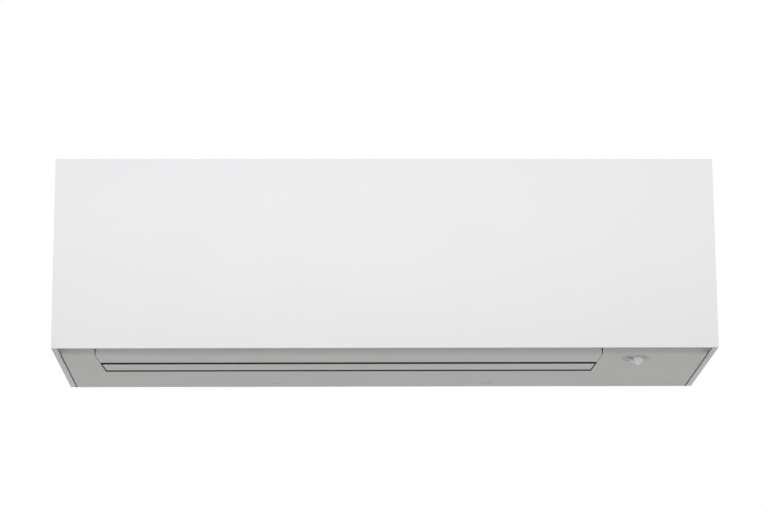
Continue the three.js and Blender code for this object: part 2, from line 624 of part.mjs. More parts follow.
function drainPan() {
  const section = outline([
    NOZZLE_LIP, TONGUE, [TONGUE[0] - 1, TONGUE[1] + 7], [TONGUE[0] - 7, TONGUE[1] + 7],
    [76, 56], [72, 40], [64, 32], [44, 32], [36, 40], [34, 57], [31, 57], [31, PAN_FLOOR], [51, PAN_FLOOR],
  ].reverse());
  const body = alongX(section, NOZZLE_LEFT, NOZZLE_RIGHT);
  const scroll = scrollCurve(-SEAT);
  const cheek = outline([
    [NOZZLE_LIP[0] - 3, floorZ(NOZZLE_LIP[0] - 3)], [NOZZLE_LIP[0] - 3, PAN_FLOOR], TONGUE, polar(270, 58),
    ...scroll.slice(8),
  ].reverse());
  const cheeks = [alongX(cheek, NOZZLE_LEFT, CHEEK_LEFT), alongX(cheek, CHEEK_RIGHT, NOZZLE_RIGHT)];
  const trough = outline([
    [72, 56], [72, 40], [64, 32], [44, 32], [36, 40], [34, 57], [31, 57], [31, PAN_FLOOR + 1],
    [80, PAN_FLOOR + 9], [84, 56],
  ]);
  const endFill = outline(rectangle(33, 74, 30, 50));
  const ends = [trough, endFill].flatMap((shape) => [
    alongX(shape, NOZZLE_LEFT, NOZZLE_LEFT + WALL), alongX(shape, NOZZLE_RIGHT - WALL, NOZZLE_RIGHT),
  ]);
  const spigots = [
    barX(...SPIGOT, 8, NOZZLE_LEFT - 18, NOZZLE_LEFT + 1, 12),
    barX(...SPIGOT, 8, NOZZLE_RIGHT - 1, NOZZLE_RIGHT + 18, 12),
  ];
  const bores = [
    barX(...SPIGOT, 6, NOZZLE_LEFT - 19, NOZZLE_LEFT + 5, 12),
    barX(...SPIGOT, 6, NOZZLE_RIGHT - 5, NOZZLE_RIGHT + 19, 12),
  ];
  const bracket = inVaneFrame(box(CRANK_X - 16, NOZZLE_LEFT + 1, -16, 16, -3, 0));
  const pinHoles = Array.from({ length: VANES }, (_, i) =>
    inVaneFrame(roundAlongZ(vaneX(i), 0, VANE_PIN_RADIUS + SEAT, -4, 1)));
  const linkSlot = inVaneFrame(box(NOZZLE_LEFT - 1, CHEEK_LEFT + 1, -VANE_PEG_ARM - 7, -VANE_PEG_ARM + 8,
    LINK_HEIGHT - 1, LINK_HEIGHT + LINK_THICKNESS + 1));
  const flapHoles = [MAIN_FLAP_AXIS, REAR_FLAP_AXIS].flatMap((axis) => [
    barX(...axis, FLAP_PIN_RADIUS + SEAT, NOZZLE_LEFT - 1, CHEEK_LEFT + 1, 12),
    barX(...axis, FLAP_PIN_RADIUS + SEAT, CHEEK_RIGHT - 1, NOZZLE_RIGHT + 1, 12),
  ]);
  const motorShaftHole = inVaneFrame(roundAlongZ(CRANK_X, 0, 3, -4, 1));
  const whole = join([body, ...cheeks, ...ends, ...spigots, bracket]);
  piece('drain_pan', cut(whole, [...bores, ...pinHoles, linkSlot, ...flapHoles, motorShaftHole]), INNER_GREY);
}

// Rubber plug in the drain socket that isn't used.
function drainPlug() {
  const end = NOZZLE_LEFT - 18;
  piece('drain_plug', join([
    barX(...SPIGOT, 6 - SEAT, end - SEAT - 1, end + 12, 12),
    barX(...SPIGOT, 8, end - SEAT - 3, end - SEAT, 12),
  ]), RUBBER);
}

// ---- Steering vanes -------------------------------------------------------------------------

const vaneRack = new THREE.Group();
vaneRack.applyMatrix4(VANE_FRAME);
unit.add(vaneRack);

function vaneSolid() {
  const c = VANE_HALF_CHORD;
  const blade = outline([[-c, SEAT], [c, SEAT], [c, 17], [-13, 64], [-20, 62], [-27, 46]]);
  const plate = alongX(blade, -VANE_THICKNESS / 2, VANE_THICKNESS / 2);
  const linkTop = LINK_HEIGHT + LINK_THICKNESS;
  const notch = box(-4, 4, -c - 8, -VANE_PEG_ARM + 7, LINK_HEIGHT - 2, linkTop + 2);
  const peg = roundAlongZ(0, -VANE_PEG_ARM, VANE_PEG_RADIUS, LINK_HEIGHT - 3, linkTop + 3, 6);
  const pin = roundAlongZ(0, 0, VANE_PIN_RADIUS, -3.4, 2);
  return join([plate.subtract(notch), peg, pin]);
}

// Twelve vanes on one link bar, all turned together by a crank at the left end.
function vanes() {
  const solid = vaneSolid();
  for (let i = 0; i < VANES; i += 1) {
    const mesh = piece(`vane_${String(i + 1).padStart(2, '0')}`, solid, DARK_GREY, vaneRack);
    mesh.position.x = vaneX(i);
  }
  const swing = THREE.MathUtils.degToRad(VANE_SWING_DEG);
  const slack = VANE_PEG_ARM * (1 - Math.cos(swing));
  const slotHalf = VANE_PEG_RADIUS + LINK_CLEARANCE;
  const slotFrom = -VANE_PEG_ARM - slotHalf;
  const slot = (x) => rectangle(x - slotHalf, x + slotHalf, slotFrom, -VANE_PEG_ARM + slack + slotHalf);
  const middle = -VANE_PEG_ARM + slack / 2;
  const pegs = [CRANK_X, ...Array.from({ length: VANES }, (_, i) => vaneX(i))];
  const bar = alongZ(outline(
    rectangle(CRANK_X - 8, vaneX(VANES - 1) + 8, middle - LINK_WIDTH / 2, middle + LINK_WIDTH / 2),
  ), LINK_HEIGHT, LINK_HEIGHT + LINK_THICKNESS);
  const slots = holesOf(alongZ, pegs.map(slot), LINK_HEIGHT - 1, LINK_HEIGHT + LINK_THICKNESS + 1);
  piece('vane_link', bar.subtract(slots), WARM_WHITE, vaneRack);
}

function vaneCrank() {
  const disc = LINK_HEIGHT - 3.5;
  const arm = alongZ(outline([[-5, 4], [-4, -17], [4, -17], [5, 4]]), disc, disc + 3)
    .add(roundAlongZ(0, 0, 6, disc, disc + 3, 12));
  const peg = roundAlongZ(0, -VANE_PEG_ARM, VANE_PEG_RADIUS, disc, LINK_HEIGHT + LINK_THICKNESS + 2, 8);
  const bore = roundAlongZ(0, 0, 2.3, disc - 1, disc + 2, 8);
  const mesh = piece('vane_crank', arm.add(peg).subtract(bore), DARK_GREY, vaneRack);
  mesh.position.x = CRANK_X;
  const can = join([
    roundAlongZ(0, 0, 12, SEAT, 13, 16), roundAlongZ(0, 0, 2, 12, disc + 1.7, 8),
    roundAlongZ(0, 0, 2.6, -2.4, 1, 8), box(-16, 16, -3, 3, SEAT, 1.6),
  ]);
  piece('vane_motor', can, STEEL, vaneRack).position.x = CRANK_X;
}

// ---- Flaps ----------------------------------------------------------------------------------

// Pins and end arms that carry a flap in the cheeks of the duct.
function flapEnds(axis, flapTop) {
  const [y, z] = axis;
  const pinOut = 1.2;
  const arm = outline([
    [y - 6, flapTop], [y + 4.5, flapTop], [y + 4.5, z + 2], [y + 1.5, z + 4.5], [y - 1.5, z + 4.5],
    [y - 4.5, z + 2],
  ]);
  const arms = [OUTLET_LEFT + 8, OUTLET_RIGHT - 12].map((x) => alongX(arm, x, x + 4));
  return [
    ...arms,
    barX(y, z, FLAP_PIN_RADIUS, NOZZLE_LEFT - pinOut, OUTLET_LEFT + 12, 12),
    barX(y, z, FLAP_PIN_RADIUS, OUTLET_RIGHT - 12, NOZZLE_RIGHT + pinOut, 12),
  ];
}

function mainFlap() {
  const t = FLAP_THICKNESS;
  const chinFoot = [CHIN_Y, undersideZ(CHIN_Y)];
  const section = outline([
    [CHIN_TOP_Y + 0.2, SHELF_Z - 1.2],
    [chinFoot[0] - 1.2, chinFoot[1] + 2.4],
    [chinFoot[0] + 1.2, chinFoot[1]],
    [MAIN_FLAP_REAR_Y, undersideZ(MAIN_FLAP_REAR_Y)],
    [MAIN_FLAP_REAR_Y, undersideZ(MAIN_FLAP_REAR_Y) + t - 1],
    [MAIN_FLAP_REAR_Y - 1.5, undersideZ(MAIN_FLAP_REAR_Y) + t],
    [chinFoot[0] + 4, chinFoot[1] + t],
    [CHIN_TOP_Y + 3.6, SHELF_Z - 1.2],
  ]);
  const plate = alongX(section, OUTLET_LEFT, OUTLET_RIGHT)
    .intersect(alongZ(outletPlan(RUNNING_GAP, CHIN_TOP_Y - 4, OUTLET_REAR_Y), -20, 20));
  const chinEnds = [[OUTLET_LEFT, OUTLET_LEFT + CHIN_END_GAP], [OUTLET_RIGHT - CHIN_END_GAP, OUTLET_RIGHT]]
    .map(([from, to]) => box(from, to, CHIN_TOP_Y - 1, CHIN_Y - 1, undersideZ(CHIN_Y), SHELF_Z));
  const rib = outline([[58, 0.5], [98, -0.5], [96, 5], [62, 4]]);
  const ribs = [-300, -150, 0, 150].map((x) => alongX(rib, x - 1, x + 1));
  piece('main_flap', join([cut(plate, chinEnds), ...ribs, ...flapEnds(MAIN_FLAP_AXIS, -0.6)]), WARM_WHITE);
}

function rearFlap() {
  const [y0, y1] = [REAR_FLAP_FRONT_Y, REAR_FLAP_REAR_Y];
  const section = outline([
    [y0, undersideZ(y0) + 1], [y0 + 1.5, undersideZ(y0)], [y1, undersideZ(y1)], [y1, undersideZ(y1) + 2],
    [y1 - 1, undersideZ(y1) + 3], [y0 + 2, undersideZ(y0) + 3],
  ]);
  const plate = alongX(section, OUTLET_LEFT, OUTLET_RIGHT)
    .intersect(alongZ(outletPlan(REAR_FLAP_END_GAP, CHIN_TOP_Y, OUTLET_REAR_Y), -20, 20));
  piece('rear_flap', join([plate, ...flapEnds(REAR_FLAP_AXIS, -2.4)]), WARM_WHITE);
}

// A small geared motor whose shaft sits off its middle, with two fixing ears.
function flapMotor(name, axis) {
  const [y, z] = axis;
  const centreZ = z + 8;
  const left = NOZZLE_RIGHT + WALL + SEAT + 0.9;
  const can = join([
    barX(y, centreZ, 13, left, left + 19, 16),
    alongX(outline(rectangle(y - 19, y + 19, centreZ - 3.5, centreZ + 3.5)), left, left + 1.2),
    barX(y, z, 4.2, left - 1.6, left + 1, 10),
  ]);
  piece(name, can, STEEL);
}

// ---- Fan -------------------------------------------------------------------------------------

// Side view of one curved blade, at the given turn round the fan's axis.
function bladeOutline(turn) {
  const stations = [0, 0.5, 1];
  const middle = stations.map((share) => {
    const radius = THREE.MathUtils.lerp(FAN_INNER_RADIUS, FAN_RADIUS - 0.6, share);
    const angle = turn + 0.2 * share + 0.1 * share * share;
    return [radius, angle, 0.5 * BLADE_THICKNESS * (share === 0.5 ? 1 : 0.6)];
  });
  const side = (sign) => middle.map(([radius, angle, half]) => {
    const a = angle + (sign * half) / radius;
    return [FAN_AXIS[0] + radius * Math.cos(a), FAN_AXIS[1] + radius * Math.sin(a)];
  });
  return outline([...side(-1), ...side(1).reverse()]);
}

function crossFlowFan() {
  const [y, z] = FAN_AXIS;
  const blades = Array.from({ length: FAN_BLADES }, (_, i) =>
    alongX(bladeOutline((2 * Math.PI * i) / FAN_BLADES), FAN_LEFT + 1, FAN_RIGHT - 1));
  const section = (FAN_RIGHT - FAN_LEFT - FAN_DISC) / FAN_SECTIONS;
  const ring = outline(circle(y, z, FAN_RADIUS, 24), [circle(y, z, FAN_INNER_RADIUS - 3, 12).reverse()]);
  const rings = Array.from({ length: FAN_SECTIONS - 1 }, (_, i) => {
    const x = FAN_LEFT + section * (i + 1);
    return alongX(ring, x, x + FAN_DISC);
  });
  const leftDisc = turnedX([
    [FAN_LEFT - 16, 0], [FAN_LEFT - 16, FAN_STUB_RADIUS], [FAN_LEFT, FAN_STUB_RADIUS], [FAN_LEFT, FAN_RADIUS],
    [FAN_LEFT + FAN_DISC, FAN_RADIUS], [FAN_LEFT + FAN_DISC, 0],
  ], y, z, 24);
  const rightDisc = turnedX([
    [FAN_RIGHT - 24, 0], [FAN_RIGHT - 24, 9], [FAN_RIGHT - FAN_DISC, 12], [FAN_RIGHT - FAN_DISC, FAN_RADIUS],
    [FAN_RIGHT, FAN_RADIUS], [FAN_RIGHT, 0],
  ], y, z, 24);
  const bore = barX(y, z, SHAFT_RADIUS + SEAT, FAN_RIGHT - 22, FAN_RIGHT + 1, 12);
  piece('cross_flow_fan', cut(join([...blades, ...rings, leftDisc, rightDisc]), [bore]), DARK_GREY);
  piece('motor_shaft', barX(y, z, SHAFT_RADIUS, FAN_RIGHT - 20, MOTOR_LEFT + 24, 12), STEEL);
  const bearing = cut(barX(y, z, BEARING_RADIUS, END_WALL_LEFT - 4, END_WALL_LEFT + 6), [
    barX(y, z, FAN_STUB_RADIUS + SEAT, END_WALL_LEFT - 6, END_WALL_LEFT + 8, 12),
  ]);
  piece('fan_bearing', bearing, RUBBER);
}

function fanMotor() {
  const [y, z] = FAN_AXIS;
  const x0 = MOTOR_LEFT;
  const x1 = MOTOR_LEFT + MOTOR_LENGTH;
  const can = turnedX([
    [x0 - 3, 0], [x0 - 3, 18], [x0, 20], [x0, 38], [x0 + 5, MOTOR_RADIUS], [x1 - 5, MOTOR_RADIUS],
    [x1, 38], [x1, 16], [x1 + 3, 14], [x1 + 3, 0],
  ], y, z, 24);
  const bore = barX(y, z, SHAFT_RADIUS + SEAT, x0 - 4, x0 + 25, 12);
  piece('fan_motor', can.subtract(bore), STEEL);
  const strapFrom = x0 + 7;
  const strapTo = x1 - 14;
  const radius = MOTOR_RADIUS + SEAT;
  const half = outline([[y - SEAT, z - MOTOR_EAR], [y - SEAT, z + MOTOR_EAR], [y - 8, z + MOTOR_EAR],
    [y - 8, z + radius + 3], [y - 34, z + radius - 8], [y - radius - 3, z + 18], [y - radius - 3, z - 18],
    [y - 34, z - radius + 8], [y - 8, z - radius - 3], [y - 8, z - MOTOR_EAR]].reverse());
  const cover = alongX(half, strapFrom, strapTo).subtract(barX(y, z, radius, strapFrom - 1, strapTo + 1, 32));
  piece('motor_cover', cover, INNER_GREY);
}

// ---- Coil ------------------------------------------------------------------------------------

const REAR_LEAN = THREE.MathUtils.degToRad(COIL_REAR_LEAN_DEG);
const COIL_OFFSET = FILTER_THICKNESS / 2 + COIL_BEHIND_FILTER + COIL_THICKNESS / 2;
const FRONT_LEG = {
  foot: [
    FILTER_FOOT[0] + COIL_OFFSET * FILTER_BACK[0] + COIL_FRONT_START * FILTER_RISE[0],
    FILTER_FOOT[1] + COIL_OFFSET * FILTER_BACK[1] + COIL_FRONT_START * FILTER_RISE[1],
  ],
  rise: FILTER_RISE,
  length: COIL_FRONT_LENGTH,
};
const REAR_LEG = {
  foot: [
    COIL_REAR_TOP[0] + COIL_REAR_LENGTH * Math.sin(REAR_LEAN),
    COIL_REAR_TOP[1] - COIL_REAR_LENGTH * Math.cos(REAR_LEAN),
  ],
  rise: [-Math.sin(REAR_LEAN), Math.cos(REAR_LEAN)],
  length: COIL_REAR_LENGTH,
};

// Leg frame: x along the unit, y through the thickness, z up the leg.
function legFrame({ foot, rise }) {
  return new THREE.Matrix4().makeBasis(
    X_AXIS,
    new THREE.Vector3(0, rise[1], -rise[0]),
    new THREE.Vector3(0, rise[0], rise[1]),
  ).setPosition(0, ...foot);
}

// A block of fins: a comb on the outer face of the core that the tubes run through.
function finBlock(leg, outerSide) {
  const half = COIL_THICKNESS / 2;
  const gaps = Math.floor((COIL_RIGHT - COIL_LEFT) / COIL_FIN_PITCH);
  const pitch = (COIL_RIGHT - COIL_LEFT) / gaps;
  const tip = outerSide * half;
  const root = outerSide * (half - COIL_FIN_DEPTH);
  const comb = Array.from({ length: gaps }, (_, i) => {
    const x = COIL_LEFT + (i + 0.25) * pitch;
    return [[x, tip], [x, root], [x + pitch / 2, root], [x + pitch / 2, tip]];
  }).flat();
  const ring = [[COIL_LEFT, -tip], [COIL_LEFT, tip], ...comb, [COIL_RIGHT, tip], [COIL_RIGHT, -tip]];
  return alongZ(outline(ring), 0, leg.length).transform(legFrame(leg).elements);
}

// How many pairs of tubes a leg holds, and the margin below the first.
function tubeRows(leg) {
  const pairs = Math.floor(leg.length / (2 * TUBE_PITCH));
  return { pairs, margin: (leg.length - (2 * pairs - 1) * TUBE_PITCH) / 2 };
}

// Half-round return bends between neighbouring tubes of a leg, on the outer side of a plate.
function returnBends(leg, plateX, side, open = 0) {
  const bends = [];
  const { pairs, margin } = tubeRows(leg);
  for (let i = 0; i < pairs - open; i += 1) {
    const z0 = margin + 2 * i * TUBE_PITCH;
    const points = Array.from({ length: 5 }, (_, k) => {
      const angle = (Math.PI * k) / 4;
      const reach = 3 + Math.sin(angle) * (TUBE_PITCH / 2);
      return new THREE.Vector3(plateX + side * reach, 0, z0 + (TUBE_PITCH / 2) * (1 - Math.cos(angle)));
    });
    points.unshift(new THREE.Vector3(plateX + side * 0.5, 0, z0));
    points.push(new THREE.Vector3(plateX + side * 0.5, 0, z0 + TUBE_PITCH));
    bends.push(tube(points, outline(circle(0, 0, TUBE_RADIUS, 5)), 5).transform(legFrame(leg).elements));
  }
  return bends;
}

function coilPlate(name, from, to, side) {
  const half = COIL_THICKNESS / 2 + 1;
  const faces = [FRONT_LEG, REAR_LEG].map((leg) =>
    box(from, to, -half, half, 0, leg.length).transform(legFrame(leg).elements));
  const [fy, fz] = FRONT_LEG.foot;
  const [ry, rz] = COIL_REAR_TOP;
  const apex = [fy + FRONT_LEG.length * FILTER_RISE[0], fz + FRONT_LEG.length * FILTER_RISE[1]];
  const bridge = alongX(outline([
    [apex[0] - 10, apex[1] - 6], [apex[0] + 6, apex[1] - 26], [ry + 8, rz - 26], [ry + 10, rz + 4],
    [apex[0] - 8, apex[1] + 4],
  ]), from, to);
  const outer = side > 0 ? to : from;
  const bends = [
    ...returnBends(FRONT_LEG, outer - side, side),
    ...returnBends(REAR_LEG, outer - side, side, side > 0 ? 1 : 0),
  ];
  piece(name, join([...faces, bridge, ...bends]), ALUMINIUM);
}

function coil() {
  piece('coil_front_leg', finBlock(FRONT_LEG, -1), ALUMINIUM);
  piece('coil_rear_leg', finBlock(REAR_LEG, 1), ALUMINIUM);
  const left = COIL_LEFT - SEAT;
  const right = COIL_RIGHT + SEAT;
  coilPlate('coil_plate_left', left - COIL_PLATE, left, -1);
  coilPlate('coil_plate_right', right, right + COIL_PLATE, 1);
}

// ---- Pipes -------------------------------------------------------------------------------------

// A copper pipe from a tube of the coil's rear leg, down behind the motor and along the rear
// recess, ending in a flare nut. row counts the leg's tubes from its foot.
function coilPipe(prefix, radius, row, runZ, dropX) {
  const alongLeg = tubeRows(REAR_LEG).margin + row * TUBE_PITCH;
  const startX = COIL_RIGHT + COIL_PLATE + 2 * SEAT;
  const startY = REAR_LEG.foot[0] + alongLeg * REAR_LEG.rise[0];
  const startZ = REAR_LEG.foot[1] + alongLeg * REAR_LEG.rise[1];
  const bend = radius * 3;
  const nutEnd = PIPE_END_X;
  const v = (x, y, z) => new THREE.Vector3(x, y, z);
  const points = [
    v(startX, startY, startZ), v(dropX - bend, startY, startZ), v(dropX - 2, startY + 6, startZ),
    v(dropX, startY + bend + 6, startZ - 3), v(dropX, PIPE_Y - 6, startZ - 16), v(dropX, PIPE_Y, startZ - 32),
    v(dropX, PIPE_Y, 110), v(dropX, PIPE_Y, runZ + bend), v(dropX - bend * 0.3, PIPE_Y, runZ + bend * 0.3),
    v(dropX - bend, PIPE_Y, runZ), v(dropX - 80, PIPE_Y, runZ), v(180, PIPE_Y, runZ),
    v(nutEnd + 40, PIPE_Y, runZ), v(nutEnd + 4, PIPE_Y, runZ),
  ];
  const rod = tube(points, outline(circle(0, 0, radius, 8)), 22);
  const bore = barX(PIPE_Y, runZ, radius - 1, nutEnd, nutEnd + 24, 8);
  piece(`${prefix}_pipe`, rod.subtract(bore), COPPER);
  const nut = cut(barX(PIPE_Y, runZ, radius * 1.75, nutEnd - 12, nutEnd + NUT_LENGTH - 12, 6), [
    barX(PIPE_Y, runZ, radius + SEAT, nutEnd - 13, nutEnd + NUT_LENGTH, 12),
  ]);
  piece(`${prefix}_flare_nut`, nut, BRASS);
}

function pipes() {
  coilPipe('gas', GAS_PIPE_RADIUS, 5, GAS_PIPE_Z, GAS_DROP_X);
  coilPipe('liquid', LIQUID_PIPE_RADIUS, 4, LIQUID_PIPE_Z, LIQUID_DROP_X);
  const clampX = 120;
  const back = BACK_WALL_FRONT - SEAT;
  const strap = cut(box(clampX - 9, clampX + 9, PIPE_Y - 12, back, 0, 40), [
    barX(PIPE_Y, GAS_PIPE_Z, GAS_PIPE_RADIUS + SEAT, clampX - 10, clampX + 10),
    barX(PIPE_Y, LIQUID_PIPE_Z, LIQUID_PIPE_RADIUS + SEAT, clampX - 10, clampX + 10),
  ]);
  piece('pipe_clamp', strap, INNER_GREY);
}

// ---- Filters -----------------------------------------------------------------------------------

const FILTER_FRAME_MATRIX = legFrame({ foot: FILTER_FOOT, rise: FILTER_RISE });

function airFilter(name, from, to) {
  const half = FILTER_THICKNESS / 2;
  const rim = 7;
  const rib = 2.5;
  const cellX = (to - from - 2 * rim + rib) / FILTER_COLUMNS;
  const cellZ = (FILTER_LENGTH - 2 * rim + rib) / FILTER_ROWS;
  const holes = [];
  for (let column = 0; column < FILTER_COLUMNS; column += 1) {
    for (let row = 0; row < FILTER_ROWS; row += 1) {
      const x = from + rim + column * cellX;
      const z = rim + row * cellZ;
      holes.push(rectangle(x, x + cellX - rib, z, z + cellZ - rib));
    }
  }
  const lattice = alongY(outline(rectangle(from, to, 0, FILTER_LENGTH)), -half, half)
    .subtract(holesOf(alongY, holes, -half - 1, half + 1));
  const middle = (from + to) / 2;
  const grip = box(middle - 22, middle + 22, -half - 5, -half + 1, 1, 5);
  piece(name, lattice.add(grip).transform(FILTER_FRAME_MATRIX.elements), WARM_WHITE);
}

function filters() {
  const gap = WALL / 2 + 0.6;
  airFilter('air_filter_left', WINDOW_LEFT + SEAT, FILTER_MIDDLE_X - gap);
  airFilter('air_filter_right', FILTER_MIDDLE_X + gap, WINDOW_RIGHT - SEAT);
}

// ---- Sensor ------------------------------------------------------------------------------------

function sensor() {
  const base = undersideZ(SENSOR_Y);
  const rimRadius = SENSOR_DISH_RADIUS;
  const neck = SENSOR_BALL_RADIUS + RUNNING_GAP;
  const bezel = turnedZ([
    [rimRadius, base], [rimRadius, base + 4], [rimRadius + 3, base + 4], [rimRadius + 3, base + 6],
    [rimRadius, base + 6], [neck + 3, base + SENSOR_NECK_TOP], [neck, base + SENSOR_NECK_TOP],
    [neck, base + SENSOR_DISH_DEPTH],
    [rimRadius - 1.5, base], [rimRadius, base],
  ], SENSOR_X, SENSOR_Y, 24);
  piece('sensor_bezel', bezel, WARM_WHITE);
  const r = SENSOR_BALL_RADIUS;
  const dome = [];
  for (let i = 0; i <= 6; i += 1) {
    const angle = -Math.PI / 2 + (i / 6) * (Math.PI / 2);
    dome.push([i === 0 ? 0 : r * Math.cos(angle), SENSOR_BALL_Z + r * Math.sin(angle)]);
  }
  const collar = base + SENSOR_NECK_TOP + SEAT;
  const ball = turnedZ([
    ...dome, [r, collar], [r + 3, collar], [r + 3, collar + 2], [0, collar + 2],
  ], SENSOR_X, SENSOR_Y, 20);
  const lensSeat = sensorLensBar(3.9 + SEAT, r - 3.2, r + 4);
  piece('sensor_ball', ball.subtract(lensSeat), WHITE);
  piece('sensor_lens', sensorLensBar(3.9, r - 2.9, r + 0.4), WARM_WHITE);
}

// A short round bar that looks out of the ball to the front left and down.
function sensorLensBar(radius, from, to) {
  const aim = new THREE.Vector3(-0.5, -0.62, -0.6).normalize();
  const geometry = new THREE.CylinderGeometry(radius, radius, to - from, 12);
  geometry.translate(0, (from + to) / 2, 0);
  geometry.applyQuaternion(new THREE.Quaternion().setFromUnitVectors(Y_AXIS, aim));
  return solidOf(geometry.translate(SENSOR_X, SENSOR_Y, SENSOR_BALL_Z));
}

// ---- Control box -------------------------------------------------------------------------------

const BOX_RIGHT = CHASSIS_HALF - 1;
const BOX_LEFT = BOX_RIGHT - 71.2;
const BOX_FRONT = 30;
const BOX_REAR = 150;
const BOX_BOTTOM = 84;
const BOX_TOP = FRONT_HEIGHT - 24;

function controlBox() {
  const wall = 2;
  const inside = box(
    BOX_LEFT + wall, BOX_RIGHT - wall, BOX_FRONT - 1, BOX_REAR - wall, BOX_BOTTOM + wall, BOX_TOP - wall);
  const tray = box(BOX_LEFT, BOX_RIGHT, BOX_FRONT, BOX_REAR, BOX_BOTTOM, BOX_TOP).subtract(inside);
  const arms = [BOX_BOTTOM + 6, BOX_TOP - 10].map((z) =>
    box(BOX_LEFT + 8, BOX_RIGHT - 8, BOX_REAR - 1, BACK_WALL_FRONT - SEAT, z, z + 3));
  const shelf = box(
    BOX_LEFT + 1, BOX_RIGHT - 1, BOX_FRONT + 4, BOX_FRONT + 40, BOX_BOTTOM + 30, BOX_BOTTOM + 32);
  const posts = [BOX_BOTTOM + 50, BOX_TOP - 20].flatMap((z) => [BOX_LEFT + 12, BOX_RIGHT - 12].map((x) =>
    box(x - 2, x + 2, BOX_FRONT + 62 + SEAT, BOX_REAR - 1, z - 2, z + 2)));
  piece('control_box', join([tray, ...arms, shelf, ...posts]), INNER_GREY);
  const boardY = BOX_FRONT + 60;
  const parts = [
    box(BOX_LEFT + 10, BOX_LEFT + 30, boardY - 24, boardY + 1, BOX_TOP - 50, BOX_TOP - 28),
    box(BOX_LEFT + 36, BOX_LEFT + 58, boardY - 16, boardY + 1, BOX_TOP - 62, BOX_TOP - 26),
    box(BOX_LEFT + 12, BOX_LEFT + 26, boardY - 14, boardY + 1, BOX_TOP - 96, BOX_TOP - 66),
    alongY(outline(circle(BOX_LEFT + 44, BOX_TOP - 86, 9, 16)), boardY - 22, boardY + 1),
    box(BOX_LEFT + 12, BOX_LEFT + 56, boardY - 8, boardY + 1, BOX_BOTTOM + 46, BOX_BOTTOM + 54),
  ];
  const board = box(BOX_LEFT + 4, BOX_RIGHT - 4, boardY, boardY + 2, BOX_BOTTOM + 38, BOX_TOP - 6);
  piece('circuit_board', join([board, ...parts]), BOARD_GREEN);
  const blockZ = BOX_BOTTOM + 32 + SEAT;
  const blockBody = box(BOX_LEFT + 6, BOX_RIGHT - 8, BOX_FRONT + 10, BOX_FRONT + 32, blockZ, blockZ + 16);
  const cells = Array.from({ length: 4 }, (_, i) => {
    const x = BOX_LEFT + 9 + i * 14;
    return box(x, x + 10, BOX_FRONT + 9, BOX_FRONT + 18, blockZ + 4, blockZ + 17);
  });
  const block = cut(blockBody, cells);
  piece('terminal_block', block, DARK_GREY);
  const clampBottom = BOX_BOTTOM + wall + SEAT;
  const clamp = cut(
    box(BOX_LEFT + 14, BOX_RIGHT - 18, BOX_FRONT + 10, BOX_FRONT + 24, clampBottom, BOX_BOTTOM + 12),
    [box(BOX_LEFT + 22, BOX_RIGHT - 26, BOX_FRONT + 9, BOX_FRONT + 25, BOX_BOTTOM, BOX_BOTTOM + 8)],
  );
  piece('cable_clamp', clamp, STEEL);
  const lid = box(BOX_LEFT, BOX_RIGHT, BOX_FRONT - 2 - SEAT, BOX_FRONT - SEAT, BOX_BOTTOM + 36, BOX_TOP);
  const lidRim = alongY(outline(
    rectangle(BOX_LEFT + wall + SEAT, BOX_RIGHT - wall - SEAT, BOX_BOTTOM + 38, BOX_TOP - wall - SEAT),
    [rectangle(BOX_LEFT + wall + 2, BOX_RIGHT - wall - 2, BOX_BOTTOM + 40, BOX_TOP - wall - 2).reverse()],
  ), BOX_FRONT - 1, BOX_FRONT + 4);
  piece('control_box_cover', lid.add(lidRim), INNER_GREY);
}

// ---- Small pieces ----------------------------------------------------------------------------------

// Push button behind the front panel, for use without the remote control.
function manualButton() {
  const back = FRAME_BACK + 2.5;
  const cap = alongY(outline(circle(BUTTON_X, BUTTON_Z, BUTTON_RADIUS, 16)), FRAME_Y - 2, back);
  const rim = outline(circle(BUTTON_X, BUTTON_Z, BUTTON_RADIUS + 2, 16));
  const flange = alongY(rim, FRAME_BACK + SEAT, back);
  piece('manual_button', cap.add(flange), WHITE);
}

function casingScrews() {
  SCREW_POINTS.forEach(([x, z], i) => {
    const head = alongY(outline(circle(x, z, SCREW_RADIUS * 2, 10)), FRAME_Y - SEAT - 2, FRAME_Y - SEAT);
    const shank = alongY(outline(circle(x, z, SCREW_RADIUS, 8)), FRAME_Y - 1, FRAME_Y + 12);
    piece(`casing_screw_${i + 1}`, head.add(shank), STEEL);
  });
}

// Temperature probes: one clipped on the coil's right plate, one in the intake air.
function thermistors() {
  const x = COIL_RIGHT + SEAT + COIL_PLATE + SEAT;
  const up = FRONT_LEG.length - 10;
  const y = FRONT_LEG.foot[0] + up * FRONT_LEG.rise[0];
  const z = FRONT_LEG.foot[1] + up * FRONT_LEG.rise[1];
  piece('coil_thermistor', barX(y, z, 3, x, x + 22, 8), COPPER);
  const holderX = WINDOW_RIGHT + WALL + SEAT;
  const holder = box(holderX, holderX + 10, FRAME_BACK + SEAT, FRAME_BACK + 16, 150, 164);
  const bead = alongZ(outline(circle(holderX + 5, FRAME_BACK + 10, 2.6, 12)), 163, 176);
  piece('air_thermistor', holder.add(bead), DARK_GREY);
}

frontPanel();
frontCasing();
topGrille();
sidePanel('side_panel_left', -1);
sidePanel('side_panel_right', 1);
mountingPlate();
rearChassis();
drainPan();
drainPlug();
vanes();
vaneCrank();
mainFlap();
rearFlap();
flapMotor('main_flap_motor', MAIN_FLAP_AXIS);
flapMotor('rear_flap_motor', REAR_FLAP_AXIS);
crossFlowFan();
fanMotor();
coil();
pipes();
filters();
sensor();
controlBox();
manualButton();
casingScrews();
thermistors();

export default unit;
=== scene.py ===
"""Looks of a wall-mounted mini split indoor unit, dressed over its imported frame."""

import logging
import math
from dataclasses import dataclass
from enum import Enum
from functools import cache
from typing import Sequence

import bmesh
import bpy
from mathutils import Matrix, Vector


